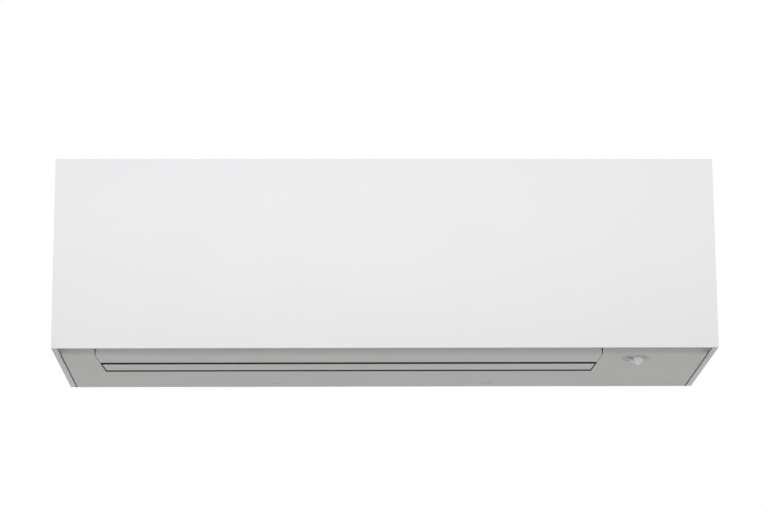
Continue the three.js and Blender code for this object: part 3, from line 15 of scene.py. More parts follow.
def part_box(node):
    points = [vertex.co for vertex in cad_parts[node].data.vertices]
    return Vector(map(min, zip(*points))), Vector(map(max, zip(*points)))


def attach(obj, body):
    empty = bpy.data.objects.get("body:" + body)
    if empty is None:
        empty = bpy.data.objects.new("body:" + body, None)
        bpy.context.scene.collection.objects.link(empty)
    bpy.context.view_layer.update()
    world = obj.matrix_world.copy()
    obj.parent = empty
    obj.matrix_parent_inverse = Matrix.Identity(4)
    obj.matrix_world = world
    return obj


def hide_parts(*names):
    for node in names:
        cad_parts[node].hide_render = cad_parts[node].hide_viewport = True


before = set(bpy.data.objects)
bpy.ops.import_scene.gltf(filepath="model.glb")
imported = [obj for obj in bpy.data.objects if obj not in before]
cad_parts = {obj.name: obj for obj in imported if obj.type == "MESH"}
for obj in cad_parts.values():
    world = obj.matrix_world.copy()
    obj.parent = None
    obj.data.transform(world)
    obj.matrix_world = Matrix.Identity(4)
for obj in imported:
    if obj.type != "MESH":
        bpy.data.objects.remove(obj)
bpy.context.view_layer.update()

LOG = logging.getLogger("indoor_unit")
MM = 0.001
DEPTH = 292.0
FRONT_EDGE = Vector((0.0, -DEPTH, -142.0)) * MM
UNDERSIDE_FALL = 8.0
X_AXIS = Vector((1.0, 0.0, 0.0))
UP = Vector((0.0, 0.0, 1.0))
SHARP = math.radians(30.0)
CREASE = 35.0
SOFT_CREASE = 32.0
Colour = tuple[float, float, float]
Profile = Sequence[tuple[float, float]]


class Body(str, Enum):
    """Rigid bodies of the unit that pieces ride on."""

    CABINET = "cabinet"
    PANEL = "lifting_panel"
    LEFT_FILTER = "left_filter"
    RIGHT_FILTER = "right_filter"
    FRONT_FLAP = "front_flap"
    BACK_FLAP = "back_flap"
    FAN = "fan_rotor"
    LINK = "link_bar"
    CRANK = "crank"
    EYE = "sensor_eye"
    BUTTON = "push_button"


def at(x: float, y: float, z: float) -> Vector:
    """Places a drawn point in the frame.

    Args:
        x: Millimetres to the right of the unit's middle.
        y: Millimetres behind the front plane.
        z: Millimetres above the front's lower edge.

    Returns:
        The point in metres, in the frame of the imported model.
    """
    return Vector((x, y, z)) * MM + FRONT_EDGE


def underside(y: float) -> float:
    """Returns the height of the slanted underside at a depth, in millimetres."""
    return -UNDERSIDE_FALL * y / DEPTH


def add_object(name: str, data: bpy.types.ID) -> bpy.types.Object:
    """Puts an object in the scene.

    Args:
        name: Name of the object.
        data: Mesh, camera or light that it holds.

    Returns:
        The object.
    """
    thing = bpy.data.objects.new(name, data)
    bpy.context.scene.collection.objects.link(thing)
    return thing


# ---- Finishes ---------------------------------------------------------------------------


def empty_tree(owner: bpy.types.Material | bpy.types.World) -> bpy.types.NodeTree:
    """Empties the node tree of a material or world.

    Args:
        owner: The material or world.

    Returns:
        Its node tree, ready to be built.
    """
    owner.use_nodes = True
    owner.node_tree.nodes.clear()
    return owner.node_tree


def add_node(
    tree: bpy.types.NodeTree, kind: str, inputs: dict[str | int, object] | None = None, **options: object
) -> bpy.types.Node:
    """Adds a node to a tree.

    Args:
        tree: Node tree that is being built.
        kind: The node's type.
        inputs: For each input that is set, its value or the socket that feeds it.
        options: The node's options.

    Returns:
        The new node.
    """
    node = tree.nodes.new(kind)
    for key, value in options.items():
        setattr(node, key, value)
    for key, value in (inputs or {}).items():
        if isinstance(value, bpy.types.NodeSocket):
            tree.links.new(value, node.inputs[key])
        else:
            node.inputs[key].default_value = value
    return node


class Grain(Enum):
    """How a surface's fine relief runs."""

    MOULDED = (1.0, 1.0, 1.0)
    DRAWN_ALONG_X = (0.04, 1.0, 1.0)
    ROLLED_ALONG_Z = (1.0, 1.0, 0.05)


@dataclass(frozen=True)
class Finish:
    """A moulded, rolled or drawn surface with mottled colour, uneven gloss and fine relief."""

    name: str
    slot: str
    colour: Colour
    mottle: float = 0.04
    roughness: float = 0.4
    gloss_spread: float = 0.08
    grain_per_metre: float = 1400.0
    relief: float = 0.12
    relief_depth: float = 0.00008
    metallic: float = 0.0
    coat: float = 0.0
    specular: float = 0.5
    coat_roughness: float = 0.25
    stain_scale: float = 9.0
    grain_share: float = 0.35
    edge_radius: float = 0.0004
    grain: Grain = Grain.MOULDED

    def material(self) -> bpy.types.Material:
        """Returns the finish's material, made on first use."""
        known = bpy.data.materials.get(self.name)
        return known if known else self._make()

    def _make(self) -> bpy.types.Material:
        """Builds the node material.

        Returns:
            A new material named after the finish.
        """
        material = bpy.data.materials.new(self.name)
        tree = empty_tree(material)
        place = add_node(tree, "ShaderNodeTexCoord").outputs["Object"]
        stretch = add_node(tree, "ShaderNodeMapping", {"Vector": place, "Scale": self.grain.value})
        fine = add_node(tree, "ShaderNodeTexNoise", {
            "Vector": stretch.outputs["Vector"], "Scale": self.grain_per_metre, "Detail": 3.0,
        }).outputs[0]
        broad = add_node(
            tree, "ShaderNodeTexNoise", {"Vector": place, "Scale": self.stain_scale, "Detail": 2.0}
        ).outputs[0]
        blend = add_node(
            tree, "ShaderNodeMath", {0: fine, 1: self.grain_share, 2: broad}, operation="MULTIPLY_ADD"
        )
        stained = (*(channel * (1.0 - self.mottle) for channel in self.colour), 1.0)
        tint = add_node(tree, "ShaderNodeMix", {
            "A": (*self.colour, 1.0), "B": stained, "Factor": blend.outputs["Value"],
        }, data_type="RGBA")
        spread = add_node(tree, "ShaderNodeMapRange", {
            "Value": broad, "To Min": self.roughness - self.gloss_spread / 2,
            "To Max": self.roughness + self.gloss_spread / 2,
        })
        edge = add_node(tree, "ShaderNodeBevel", {"Radius": self.edge_radius}, samples=4)
        relief = add_node(tree, "ShaderNodeBump", {
            "Strength": self.relief, "Distance": self.relief_depth, "Height": fine,
            "Normal": edge.outputs["Normal"],
        })
        shader = add_node(tree, "ShaderNodeBsdfPrincipled", {
            "Base Color": tint.outputs["Result"], "Roughness": spread.outputs["Result"],
            "Normal": relief.outputs["Normal"], "Metallic": self.metallic, "Coat Weight": self.coat,
            "Coat Roughness": self.coat_roughness, "Specular IOR Level": self.specular,
        })
        add_node(tree, "ShaderNodeOutputMaterial", {"Surface": shader.outputs["BSDF"]})
        return material


# The side covers, casing and flaps are the same white plastic as the front panel; their greyer white is
# partly painted shade of the sides and underside.
WARM_WHITE: Colour = (0.70, 0.695, 0.685)
FRONT_WHITE = Finish(
    "satin_front_white", "white_plastic", (0.815, 0.82, 0.832),
    mottle=0.015, roughness=0.45, gloss_spread=0.06, specular=0.35,
)
SIDE_WHITE = Finish(
    "satin_side_white", "white_plastic", (0.735, 0.734, 0.73), mottle=0.02, roughness=0.45, specular=0.3
)
CASE_WHITE = Finish(
    "fine_grained_white", "warm_white_plastic", WARM_WHITE,
    mottle=0.03, roughness=0.55, relief=0.2, specular=0.25,
)
FLAP_WHITE = Finish(
    "flap_white", "warm_white_plastic", WARM_WHITE, mottle=0.025, roughness=0.5, specular=0.25
)
FILTER_WHITE = Finish(
    "filter_frame_white", "warm_white_plastic", (0.62, 0.64, 0.66), mottle=0.05, roughness=0.5
)
FILTER_MESH = Finish(
    "filter_strands", "warm_white_plastic", (0.42, 0.45, 0.48), mottle=0.1, roughness=0.55
)
DUCT_GREY = Finish(
    "duct_dark_grey", "grey_plastic", (0.045, 0.046, 0.048), mottle=0.2, roughness=0.55, relief=0.3
)
FAN_GREY = Finish("fan_dark_grey", "dark_plastic", (0.03, 0.031, 0.033), mottle=0.2, roughness=0.5)
RUBBER_BLACK = Finish(
    "black_rubber", "rubber", (0.018, 0.018, 0.019), mottle=0.3, roughness=0.8, relief=0.4
)
# Dark grey of the strips in the side cover gaps: painted shade.
GAP_SHADE_GREY = Finish("gap_shade_grey", "rubber", (0.17, 0.165, 0.16), mottle=0.2, roughness=0.85, relief=0.4)
BOARD_GREEN = Finish("board_green", "circuit_board", (0.02, 0.14, 0.05), mottle=0.25, roughness=0.4)
SENSOR_WHITE = Finish(
    "sensor_white", "warm_white_plastic", (0.72, 0.72, 0.715), mottle=0.02, roughness=0.35
)
EYE_WHITE = Finish(
    "sensor_eye_white", "white_plastic", (0.86, 0.865, 0.87), mottle=0.02, roughness=0.3, coat=0.2
)
ZINC_STEEL = Finish(
    "zinc_coated_steel", "steel", (0.55, 0.57, 0.59),
    mottle=0.18, roughness=0.42, gloss_spread=0.2, grain_per_metre=320.0, relief=0.2, metallic=1.0,
)
FIN_ALUMINIUM = Finish(
    "fin_aluminium", "aluminium", (0.72, 0.74, 0.76),
    mottle=0.12, roughness=0.35, gloss_spread=0.15, grain_per_metre=600.0, relief=0.2, metallic=1.0,
    grain=Grain.ROLLED_ALONG_Z,
)
PIPE_COPPER = Finish(
    "drawn_copper", "copper", (0.68, 0.33, 0.2),
    mottle=0.25, roughness=0.3, gloss_spread=0.15, grain_per_metre=500.0, relief=0.2, metallic=1.0,
    grain=Grain.DRAWN_ALONG_X,
)
NUT_BRASS = Finish(
    "turned_brass", "brass", (0.7, 0.5, 0.2),
    mottle=0.15, roughness=0.3, gloss_spread=0.1, grain_per_metre=900.0, relief=0.25, metallic=1.0,
    grain=Grain.DRAWN_ALONG_X,
)


# ---- Shapes in mesh code ------------------------------------------------------------------


class Shape:
    """A mesh in the making, in metres, that ends as one piece on one body."""

    def __init__(self) -> None:
        """Starts with nothing in it."""
        self.bm = bmesh.new()

    def rounded_box(self, low: Vector, high: Vector, radius: float) -> "Shape":
        """Adds a box with rounded edges.

        Args:
            low: Lowest corner.
            high: Highest corner.
            radius: Radius of all its edges.

        Returns:
            This shape.
        """
        made = bmesh.ops.create_cube(self.bm, size=1.0)["verts"]
        size = high - low
        middle = (high + low) / 2
        for vert in made:
            vert.co = Vector(a * b for a, b in zip(vert.co, size)) + middle
        edges = list({edge for vert in made for edge in vert.link_edges})
        if radius > 0:
            bmesh.ops.bevel(
                self.bm, geom=edges, offset=radius, segments=3, affect="EDGES", profile=0.5
            )
        return self

    def prism(self, outline: Sequence[Vector], run: Vector) -> "Shape":
        """Adds a solid that carries an outline along a straight run.

        Args:
            outline: Corner points of the near end.
            run: From the near end to the far end.

        Returns:
            This shape.
        """
        near = [self.bm.verts.new(point) for point in outline]
        far = [self.bm.verts.new(point + run) for point in outline]
        self.bm.faces.new(near)
        self.bm.faces.new(list(reversed(far)))
        count = len(near)
        for i in range(count):
            j = (i + 1) % count
            self.bm.faces.new([near[j], near[i], far[i], far[j]])
        return self

    def turned(self, profile: Profile, centre: Vector, axis: Vector, sides: int) -> "Shape":
        """Adds a solid of revolution.

        Args:
            profile: (radius, height along the axis) points, open where they meet the axis.
            centre: Point on the axis that heights are counted from.
            axis: Unit vector along the axis.
            sides: Faces round it.

        Returns:
            This shape.
        """
        turn = UP.rotation_difference(axis).to_matrix()
        rings: list[list[bmesh.types.BMVert]] = []
        for radius, height in profile:
            if radius < 1e-7:
                rings.append([self.bm.verts.new(centre + turn @ Vector((0.0, 0.0, height)))])
                continue
            ring = []
            for i in range(sides):
                angle = math.tau * i / sides
                local = Vector((radius * math.cos(angle), radius * math.sin(angle), height))
                ring.append(self.bm.verts.new(centre + turn @ local))
            rings.append(ring)
        closed = len(rings[0]) > 1
        pairs = list(zip(rings, rings[1:])) + ([(rings[-1], rings[0])] if closed else [])
        for lower, upper in pairs:
            self._bridge(lower, upper, sides)
        return self

    def turned_mm(self, profile: Profile, centre: Vector, axis: Vector, sides: int) -> "Shape":
        """Adds a solid of revolution whose profile is in millimetres, as turned() does in metres."""
        return self.turned([(r * MM, h * MM) for r, h in profile], centre, axis, sides)

    def _bridge(
        self, lower: list[bmesh.types.BMVert], upper: list[bmesh.types.BMVert], sides: int
    ) -> None:
        """Joins two rings, either of which may be a single point."""
        if len(lower) == 1 and len(upper) == 1:
            return
        for i in range(sides):
            j = (i + 1) % sides
            if len(lower) == 1:
                self.bm.faces.new([lower[0], upper[j], upper[i]])
            elif len(upper) == 1:
                self.bm.faces.new([lower[i], lower[j], upper[0]])
            else:
                self.bm.faces.new([lower[i], lower[j], upper[j], upper[i]])

    def swept(self, path: Sequence[Vector], radius: float, sides: int) -> "Shape":
        """Adds a round tube along a path, closed at both ends.

        Args:
            path: Points along the tube's middle.
            radius: The tube's radius.
            sides: Faces round it.

        Returns:
            This shape.
        """
        rings = []
        normal = UP
        last = None
        for i, point in enumerate(path):
            ahead = path[min(i + 1, len(path) - 1)] - path[max(i - 1, 0)]
            tangent = ahead.normalized()
            if last is not None:
                normal = last.rotation_difference(tangent) @ normal
            normal = (normal - tangent * normal.dot(tangent)).normalized()
            if normal.length < 0.5:
                normal = tangent.orthogonal().normalized()
            across = tangent.cross(normal)
            rings.append([
                self.bm.verts.new(
                    point
                    + normal * (radius * math.cos(math.tau * k / sides))
                    + across * (radius * math.sin(math.tau * k / sides))
                )
                for k in range(sides)
            ])
            last = tangent
        for lower, upper in zip(rings, rings[1:]):
            self._bridge(lower, upper, sides)
        self.bm.faces.new(list(reversed(rings[0])))
        self.bm.faces.new(rings[-1])
        return self

    def softened_copy(self, node: str, radius: float) -> "Shape":
        """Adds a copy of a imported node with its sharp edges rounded.

        Args:
            node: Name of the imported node.
            radius: Radius of the rounded edges.

        Returns:
            This shape.
        """
        self.bm.from_mesh(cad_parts[node].data)
        bmesh.ops.remove_doubles(self.bm, verts=self.bm.verts, dist=2e-6)
        bmesh.ops.dissolve_limit(
            self.bm, angle_limit=math.radians(0.5), verts=self.bm.verts, edges=self.bm.edges
        )
        sharp = [
            edge for edge in self.bm.edges
            if len(edge.link_faces) == 2 and edge.calc_face_angle() > SHARP
        ]
        bmesh.ops.bevel(
            self.bm, geom=sharp, offset=radius, segments=2, affect="EDGES", profile=0.5, clamp_overlap=True
        )
        return self

    def mesh(self, name: str) -> bpy.types.Mesh:
        """Ends the shape as a plain mesh.

        Args:
            name: Name of the mesh.

        Returns:
            The mesh.
        """
        mesh = bpy.data.meshes.new(name)
        self.bm.to_mesh(mesh)
        self.bm.free()
        return mesh

    def piece(
        self, name: str, finish: Finish, body: Body | str, stands_for: Sequence[str] = (),
        crease: float = CREASE,
    ) -> bpy.types.Object:
        """Ends the shape as a shown piece.

        Args:
            name: Name of the piece.
            finish: Its finish.
            body: Body that it rides on.
            stands_for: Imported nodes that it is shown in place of.
            crease: Angle in degrees above which an edge stays crisp.

        Returns:
            The finished object.
        """
        bmesh.ops.remove_doubles(self.bm, verts=self.bm.verts, dist=1e-7)
        bmesh.ops.recalc_face_normals(self.bm, faces=self.bm.faces)
        mesh = self.mesh(name)
        mesh.materials.append(finish.material())
        return settle(name, mesh, finish, body, stands_for, crease)


def settle(
    name: str, mesh: bpy.types.Mesh, finish: Finish, body: Body | str, stands_for: Sequence[str] = (),
    crease: float = CREASE,
) -> bpy.types.Object:
    """Puts a mesh in the scene as a piece that rides on a body.

    Args:
        name: Name of the piece.
        mesh: Its mesh, in the frame's metres.
        finish: Its finish.
        body: Body that it rides on.
        stands_for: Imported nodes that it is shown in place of.
        crease: Angle in degrees above which an edge stays crisp.

    Returns:
        The object that holds the mesh.
    """
    mesh.shade_smooth()
    mesh.set_sharp_from_angle(angle=math.radians(crease))
    thing = add_object(name, mesh)
    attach(thing, body.value if isinstance(body, Body) else body)
    if stands_for:
        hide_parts(*stands_for)
    LOG.info("%s: %d faces", name, len(mesh.polygons))
    return thing


def soften(nodes: Sequence[str], finish: Finish, body: Body | str, radius: float = 0.0004) -> None:
    """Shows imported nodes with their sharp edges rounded.

    Args:
        nodes: Names of the nodes.
        finish: The finish that they get.
        body: Body that they ride on.
        radius: Radius of the rounded edges.
    """
    for name in nodes:
        Shape().softened_copy(name, radius).piece(f"{name}_shape", finish, body, [name], SOFT_CREASE)


def bent_path(corners: Sequence[Vector], radius: float, steps: int) -> list[Vector]:
    """Rounds the corners of a path of straight runs.

    Args:
        corners: The path's corner points.
        radius: Radius of the bends.
        steps: Points round each bend.

    Returns:
        The path's points.
    """
    path = [corners[0]]
    for before, corner, after in zip(corners, corners[1:], corners[2:]):
        back, ahead = (before - corner).normalized(), (after - corner).normalized()
        half = back.angle(ahead) / 2
        reach = min(radius / math.tan(half), (before - corner).length * 0.49, (after - corner).length * 0.49)
        turn = reach * math.tan(half)
        middle = corner + (back + ahead).normalized() * (turn / math.sin(half))
        start = corner + back * reach - middle
        axis = start.cross(corner + ahead * reach - middle).normalized()
        sweep = math.pi - 2 * half
        path += [middle + Matrix.Rotation(sweep * i / steps, 3, axis) @ start for i in range(steps + 1)]
    return [*path, corners[-1]]


def rounded_profile(corners: Profile, radius: float, steps: int) -> Profile:
    """Rounds the inner corners of a turned profile.

    Args:
        corners: (radius, height) points.
        radius: Radius of the roundings.
        steps: Points round each.

    Returns:
        The rounded profile.
    """
    path = bent_path([Vector((a, b, 0.0)) for a, b in corners], radius, steps)
    return [(point.x, point.y) for point in path]


def dress(nodes: Sequence[str], finish: Finish) -> None:
    """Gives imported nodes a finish.

    Args:
        nodes: Names of the nodes.
        finish: The finish that they get.
    """
    for name in nodes:
        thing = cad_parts[name]
        if not thing.material_slots:
            thing.data.materials.append(finish.material())
        for holder in thing.material_slots:
            holder.material = finish.material()
        LOG.info("%s dressed as %s", name, finish.name)


# ---- Repeated shapes by geometry nodes -----------------------------------------------------


class RepeatTree:
    """A geometry tree that repeats a shape, with its sizes as named inputs."""

    def __init__(self, name: str) -> None:
        """Starts a tree with a geometry input and output.

        Args:
            name: Name of the tree.
        """
        self.tree = bpy.data.node_groups.new(name, "GeometryNodeTree")
        face = self.tree.interface
        face.new_socket("Geometry", in_out="INPUT", socket_type="NodeSocketGeometry")
        face.new_socket("Geometry", in_out="OUTPUT", socket_type="NodeSocketGeometry")
        self.entry = self.tree.nodes.new("NodeGroupInput")
        self.exit = self.tree.nodes.new("NodeGroupOutput")
        self.identifiers: dict[str, str] = {}

    def size(self, name: str, kind: str = "NodeSocketFloat") -> bpy.types.NodeSocket:
        """Adds a named input.

        Args:
            name: Name of the input.
            kind: Socket type.

        Returns:
            The input's socket inside the tree.
        """
        made = self.tree.interface.new_socket(name, in_out="INPUT", socket_type=kind)
        self.identifiers[name] = made.identifier
        return self.entry.outputs[name]

    def add(
        self, kind: str, inputs: dict[str | int, object] | None = None, **options: object
    ) -> bpy.types.Node:
        """Adds a node with its inputs and options."""
        return add_node(self.tree, kind, inputs, **options)

    def close(self, geometry: bpy.types.NodeSocket) -> None:
        """Ends the tree with real faces and one finish.

        Args:
            geometry: Socket with the repeated shape.
        """
        real = self.add("GeometryNodeRealizeInstances", {"Geometry": geometry})
        coat = self.add("GeometryNodeSetMaterial", {
            "Geometry": real.outputs["Geometry"], "Material": self.size("Finish", "NodeSocketMaterial"),
        })
        self.tree.links.new(coat.outputs["Geometry"], self.exit.inputs[0])

    def grown(
        self, values: dict[str, object], finish: Finish, seed: bpy.types.Mesh | None = None
    ) -> bpy.types.Mesh:
        """Runs the tree and keeps its result.

        Args:
            values: Value of each named input.
            finish: Finish of the result.
            seed: Mesh that the tree repeats, where it takes one.

        Returns:
            The result as a plain mesh.
        """
        host_mesh = seed if seed else bpy.data.meshes.new("seed")
        host = add_object("host", host_mesh)
        modifier = host.modifiers.new("repeat", "NODES")
        modifier.node_group = self.tree
        for name, value in {**values, "Finish": finish.material()}.items():
            modifier[self.identifiers[name]] = value
        graph = bpy.context.evaluated_depsgraph_get()
        mesh = bpy.data.meshes.new_from_object(host.evaluated_get(graph), depsgraph=graph)
        host.modifiers.remove(modifier)
        bpy.data.objects.remove(host)
        bpy.data.meshes.remove(host_mesh)
        return mesh


@cache
def bar_tree() -> RepeatTree:
    """Builds, on first use, the tree that lays equal bars side by side along a line.

    Returns:
        A tree with the inputs Count, Start, Step, Bar and Turn.
    """
    made = RepeatTree("bars_along_a_line")
    line = made.add("GeometryNodeMeshLine", {
        "Count": made.size("Count", "NodeSocketInt"),
        "Start Location": made.size("Start", "NodeSocketVector"),
        "Offset": made.size("Step", "NodeSocketVector"),
    })
    cube = made.add("GeometryNodeMeshCube", {"Size": made.size("Bar", "NodeSocketVector")})
    lay = made.add("GeometryNodeInstanceOnPoints", {
        "Points": line.outputs["Mesh"], "Instance": cube.outputs["Mesh"],
        "Rotation": made.size("Turn", "NodeSocketVector"),
    })
    made.close(lay.outputs["Instances"])
    return made


def bar_row(
    count: int, first: Vector, step: Vector, bar: Vector, finish: Finish, lean: float = 0.0
) -> bpy.types.Mesh:
    """Makes a row of bars, such as slats, strands and fins.

    Args:
        count: Number of bars.
        first: Middle of the first bar, in metres.
        step: From one bar to the next, in metres.
        bar: A bar's size before it is turned, in millimetres.
        finish: The bars' finish.
        lean: Turn of each bar round the unit's long axis, in radians.

    Returns:
        The row as a plain mesh.
    """
    sizes = {
        "Count": count, "Start": tuple(first), "Step": tuple(step), "Bar": tuple(bar * MM),
        "Turn": (lean, 0.0, 0.0),
    }
    return bar_tree().grown(sizes, finish)


def joined(meshes: Sequence[bpy.types.Mesh]) -> bpy.types.Mesh:
    """Joins meshes that share a finish.

    Args:
        meshes: Meshes in the frame's metres.

    Returns:
        One mesh with all their faces.
    """
    shape = Shape()
    for mesh in meshes:
        shape.bm.from_mesh(mesh)
    whole = shape.mesh("joined")
    for holder in meshes[0].materials:
        whole.materials.append(holder)
    for mesh in meshes:
        bpy.data.meshes.remove(mesh)
    return whole


# ---- Sub-assemblies -------------------------------------------------------------------------


@dataclass
class Cover:
    """The front panel and the two side covers."""

    edge: float = 0.0007
    side_edge: float = 0.0006

    def build(self) -> None:
        """Makes the covers with rounded edges."""
        for node, finish, body, edge in (
            ("front_panel", FRONT_WHITE, Body.PANEL, self.edge),
            ("side_panel_left", SIDE_WHITE, Body.CABINET, self.side_edge),
            ("side_panel_right", SIDE_WHITE, Body.CABINET, self.side_edge),
        ):
            Shape().softened_copy(node, edge).piece(f"{node}_moulding", finish, body, [node])


@dataclass
class Casing:
    """The casing with the grille over its intake and its screws."""

    top: float = 291.5
    depth: float = 3.5
    rim: float = 6.0
    slat: float = 1.4
    slat_pitch: float = 8.0
    rib: float = 1.6
    rib_pitch: float = 26.0
    rib_inset: float = 0.4
    rounding: float = 0.5
    dome_rise: float = 0.9
    thread_turns: int = 8
    thread_start: float = 3.0
    thread_end: float = 1.5
    thread_ramp: float = 0.6
    recess_depth: float = 0.35

    def build(self) -> None:
        """Dresses the casing and makes the grille and the screws."""
        dress(["front_casing"], CASE_WHITE)
        self._grille()
        for number in range(1, 5):
            self._screw(f"casing_screw_{number}")

    def _screw(self, node: str) -> None:
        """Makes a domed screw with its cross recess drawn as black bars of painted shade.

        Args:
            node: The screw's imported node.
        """
        low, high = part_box(node)
        centre = Vector(((low.x + high.x) / 2, low.y, (low.z + high.z) / 2))
        head, length = (high.x - low.x) / 2, high.y - low.y
        shank = head / 2
        profile = [(0.0, 0.0)]
        for step in range(2, 9):
            angle = step * math.pi / 16
            profile.append((head * math.sin(angle), self.dome_rise * MM * (1 - math.cos(angle))))
        profile += [(head, 2.0 * MM), (shank, 2.1 * MM)]
        threaded = length - (self.thread_start + self.thread_end) * MM
        for turn in range(self.thread_turns):
            start = self.thread_start * MM + threaded * turn / self.thread_turns
            profile += [(shank, start), (shank * 0.8, start + self.thread_ramp * MM)]
        profile += [(shank * 0.4, length - 0.5 * MM), (0.0, length)]
        shape = Shape().turned(profile, centre, Vector((0.0, 1.0, 0.0)), 32)
        shape.piece(f"{node}_shape", ZINC_STEEL, Body.CABINET, [node], 40.0)
        arm, width, depth = head * 0.5, head * 0.14, self.recess_depth * MM
        # The cross recess is black bars poking through the dome, in the black rubber finish: painted shade,
        # not a cut.
        cross = Shape()
        for long, wide in ((arm, width), (width, arm)):
            cross.rounded_box(
                centre + Vector((-long, 0.1 * MM, -wide)), centre + Vector((long, depth, wide)), 0.0
            )
        cross.piece(f"{node}_recess", RUBBER_BLACK, Body.CABINET)

    def _grille(self) -> None:
        """Makes the intake grille of long slats and cross ribs in a rim."""
        packed_low, packed_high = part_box("top_grille")
        half = packed_high.x / MM
        front, rear = ((corner.y - FRONT_EDGE.y) / MM for corner in (packed_low, packed_high))
        low, high, middle = self.top - self.depth, self.top, self.top - self.depth / 2
        span_x, span_y = 2 * (half - self.rim), rear - front - 2 * self.rim
        slats, ribs = round(span_y / self.slat_pitch) - 1, round(span_x / self.rib_pitch) - 1
        step_x, step_y = span_x / (ribs + 1), span_y / (slats + 1)
        rows = [
            bar_row(
                slats, at(0.0, front + self.rim + step_y, middle), Vector((0.0, step_y, 0.0)) * MM,
                Vector((2 * half - self.rim, self.slat, self.depth)), CASE_WHITE,
            ),
            bar_row(
                ribs, at(self.rim + step_x - half, (front + rear) / 2, middle - self.rib_inset),
                X_AXIS * (step_x * MM),
                Vector((self.rib, rear - front - self.rim, self.depth - 2 * self.rib_inset)), CASE_WHITE,
            ),
        ]
        settle("intake_grille", joined(rows), CASE_WHITE, Body.CABINET)
        rim = Shape()
        for y in (front, rear - self.rim):
            rim.rounded_box(at(-half, y, low), at(half, y + self.rim, high), self.rounding * MM)
        for x in (-half, half - self.rim):
            rim.rounded_box(at(x, front, low), at(x + self.rim, rear, high), self.rounding * MM)
        rim.piece("intake_grille_rim", CASE_WHITE, Body.CABINET, ["top_grille"])


@dataclass
class Filters:
    """The two pull-out filters with their fine mesh."""

    foot: tuple[float, float] = (26.0, 62.0)
    lean: float = math.radians(25.0)
    length: float = 232.0
    rim: float = 5.0
    strand: float = 0.45
    pitch: float = 2.4

    def build(self) -> None:
        """Dresses both frames and strings the mesh in them."""
        for node, body in (("air_filter_left", Body.LEFT_FILTER), ("air_filter_right", Body.RIGHT_FILTER)):
            dress([node], FILTER_WHITE)
            low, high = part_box(node)
            self._mesh(node, body, low.x / MM + self.rim, high.x / MM - self.rim)

    def _up(self, along: float) -> Vector:
        """Returns the point of the filter's middle plane at a height along its slope."""
        y, z = self.foot
        return at(0.0, y + along * math.sin(self.lean), z + along * math.cos(self.lean))

    def _mesh(self, node: str, body: Body, left: float, right: float) -> None:
        """Strings one filter's mesh.

        Args:
            node: The filter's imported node.
            body: The filter's body.
            left: Left end in millimetres.
            right: Right end in millimetres.
        """
        rise = self._up(1.0) - self._up(0.0)
        wide, tall = right - left, self.length - 2 * self.rim
        meshes = [
            bar_row(
                int(tall / self.pitch), self._up(self.rim + self.pitch) + X_AXIS * ((left + right) / 2 * MM),
                rise * self.pitch, Vector((wide, self.strand, self.strand)), FILTER_MESH, -self.lean,
            ),
            bar_row(
                int(wide / self.pitch), self._up(self.length / 2) + X_AXIS * ((left + self.pitch) * MM),
                X_AXIS * (self.pitch * MM), Vector((self.strand, self.strand, tall)), FILTER_MESH,
                -self.lean,
            ),
        ]
        settle(f"{node}_mesh", joined(meshes), FILTER_MESH, body)


@dataclass(frozen=True)
class Leg:
    """One leaning leg of the coil in the side view, in millimetres and radians."""

    name: str
    foot: tuple[float, float]
    lean: float
    length: float
    tube_pitch: float = 21.0

    @property
    def rise(self) -> Vector:
        """Direction up the slope."""
        return Vector((0.0, math.sin(self.lean), math.cos(self.lean)))

    @property
    def across(self) -> Vector:
        """Direction through the leg's thickness."""
        return Vector((0.0, math.cos(self.lean), -math.sin(self.lean)))

    @property
    def pairs(self) -> int:
        """Number of pairs of tubes."""
        return int(self.length // (2 * self.tube_pitch))

    def point(self, x: float, along: float) -> Vector:
        """Returns a point of the middle plane.

        Args:
            x: Place along the unit.
            along: Distance up the slope.

        Returns:
            The point in metres.
        """
        return at(x, *self.foot) + self.rise * (along * MM)

    def tube(self, x: float, row: float) -> Vector:
        """Returns the middle of a tube.

        Args:
            x: Place along the unit.
            row: Number of the tube, counted up the slope from 0.

        Returns:
            The point in metres.
        """
        margin = (self.length - (2 * self.pairs - 1) * self.tube_pitch) / 2
        return self.point(x, margin + row * self.tube_pitch)


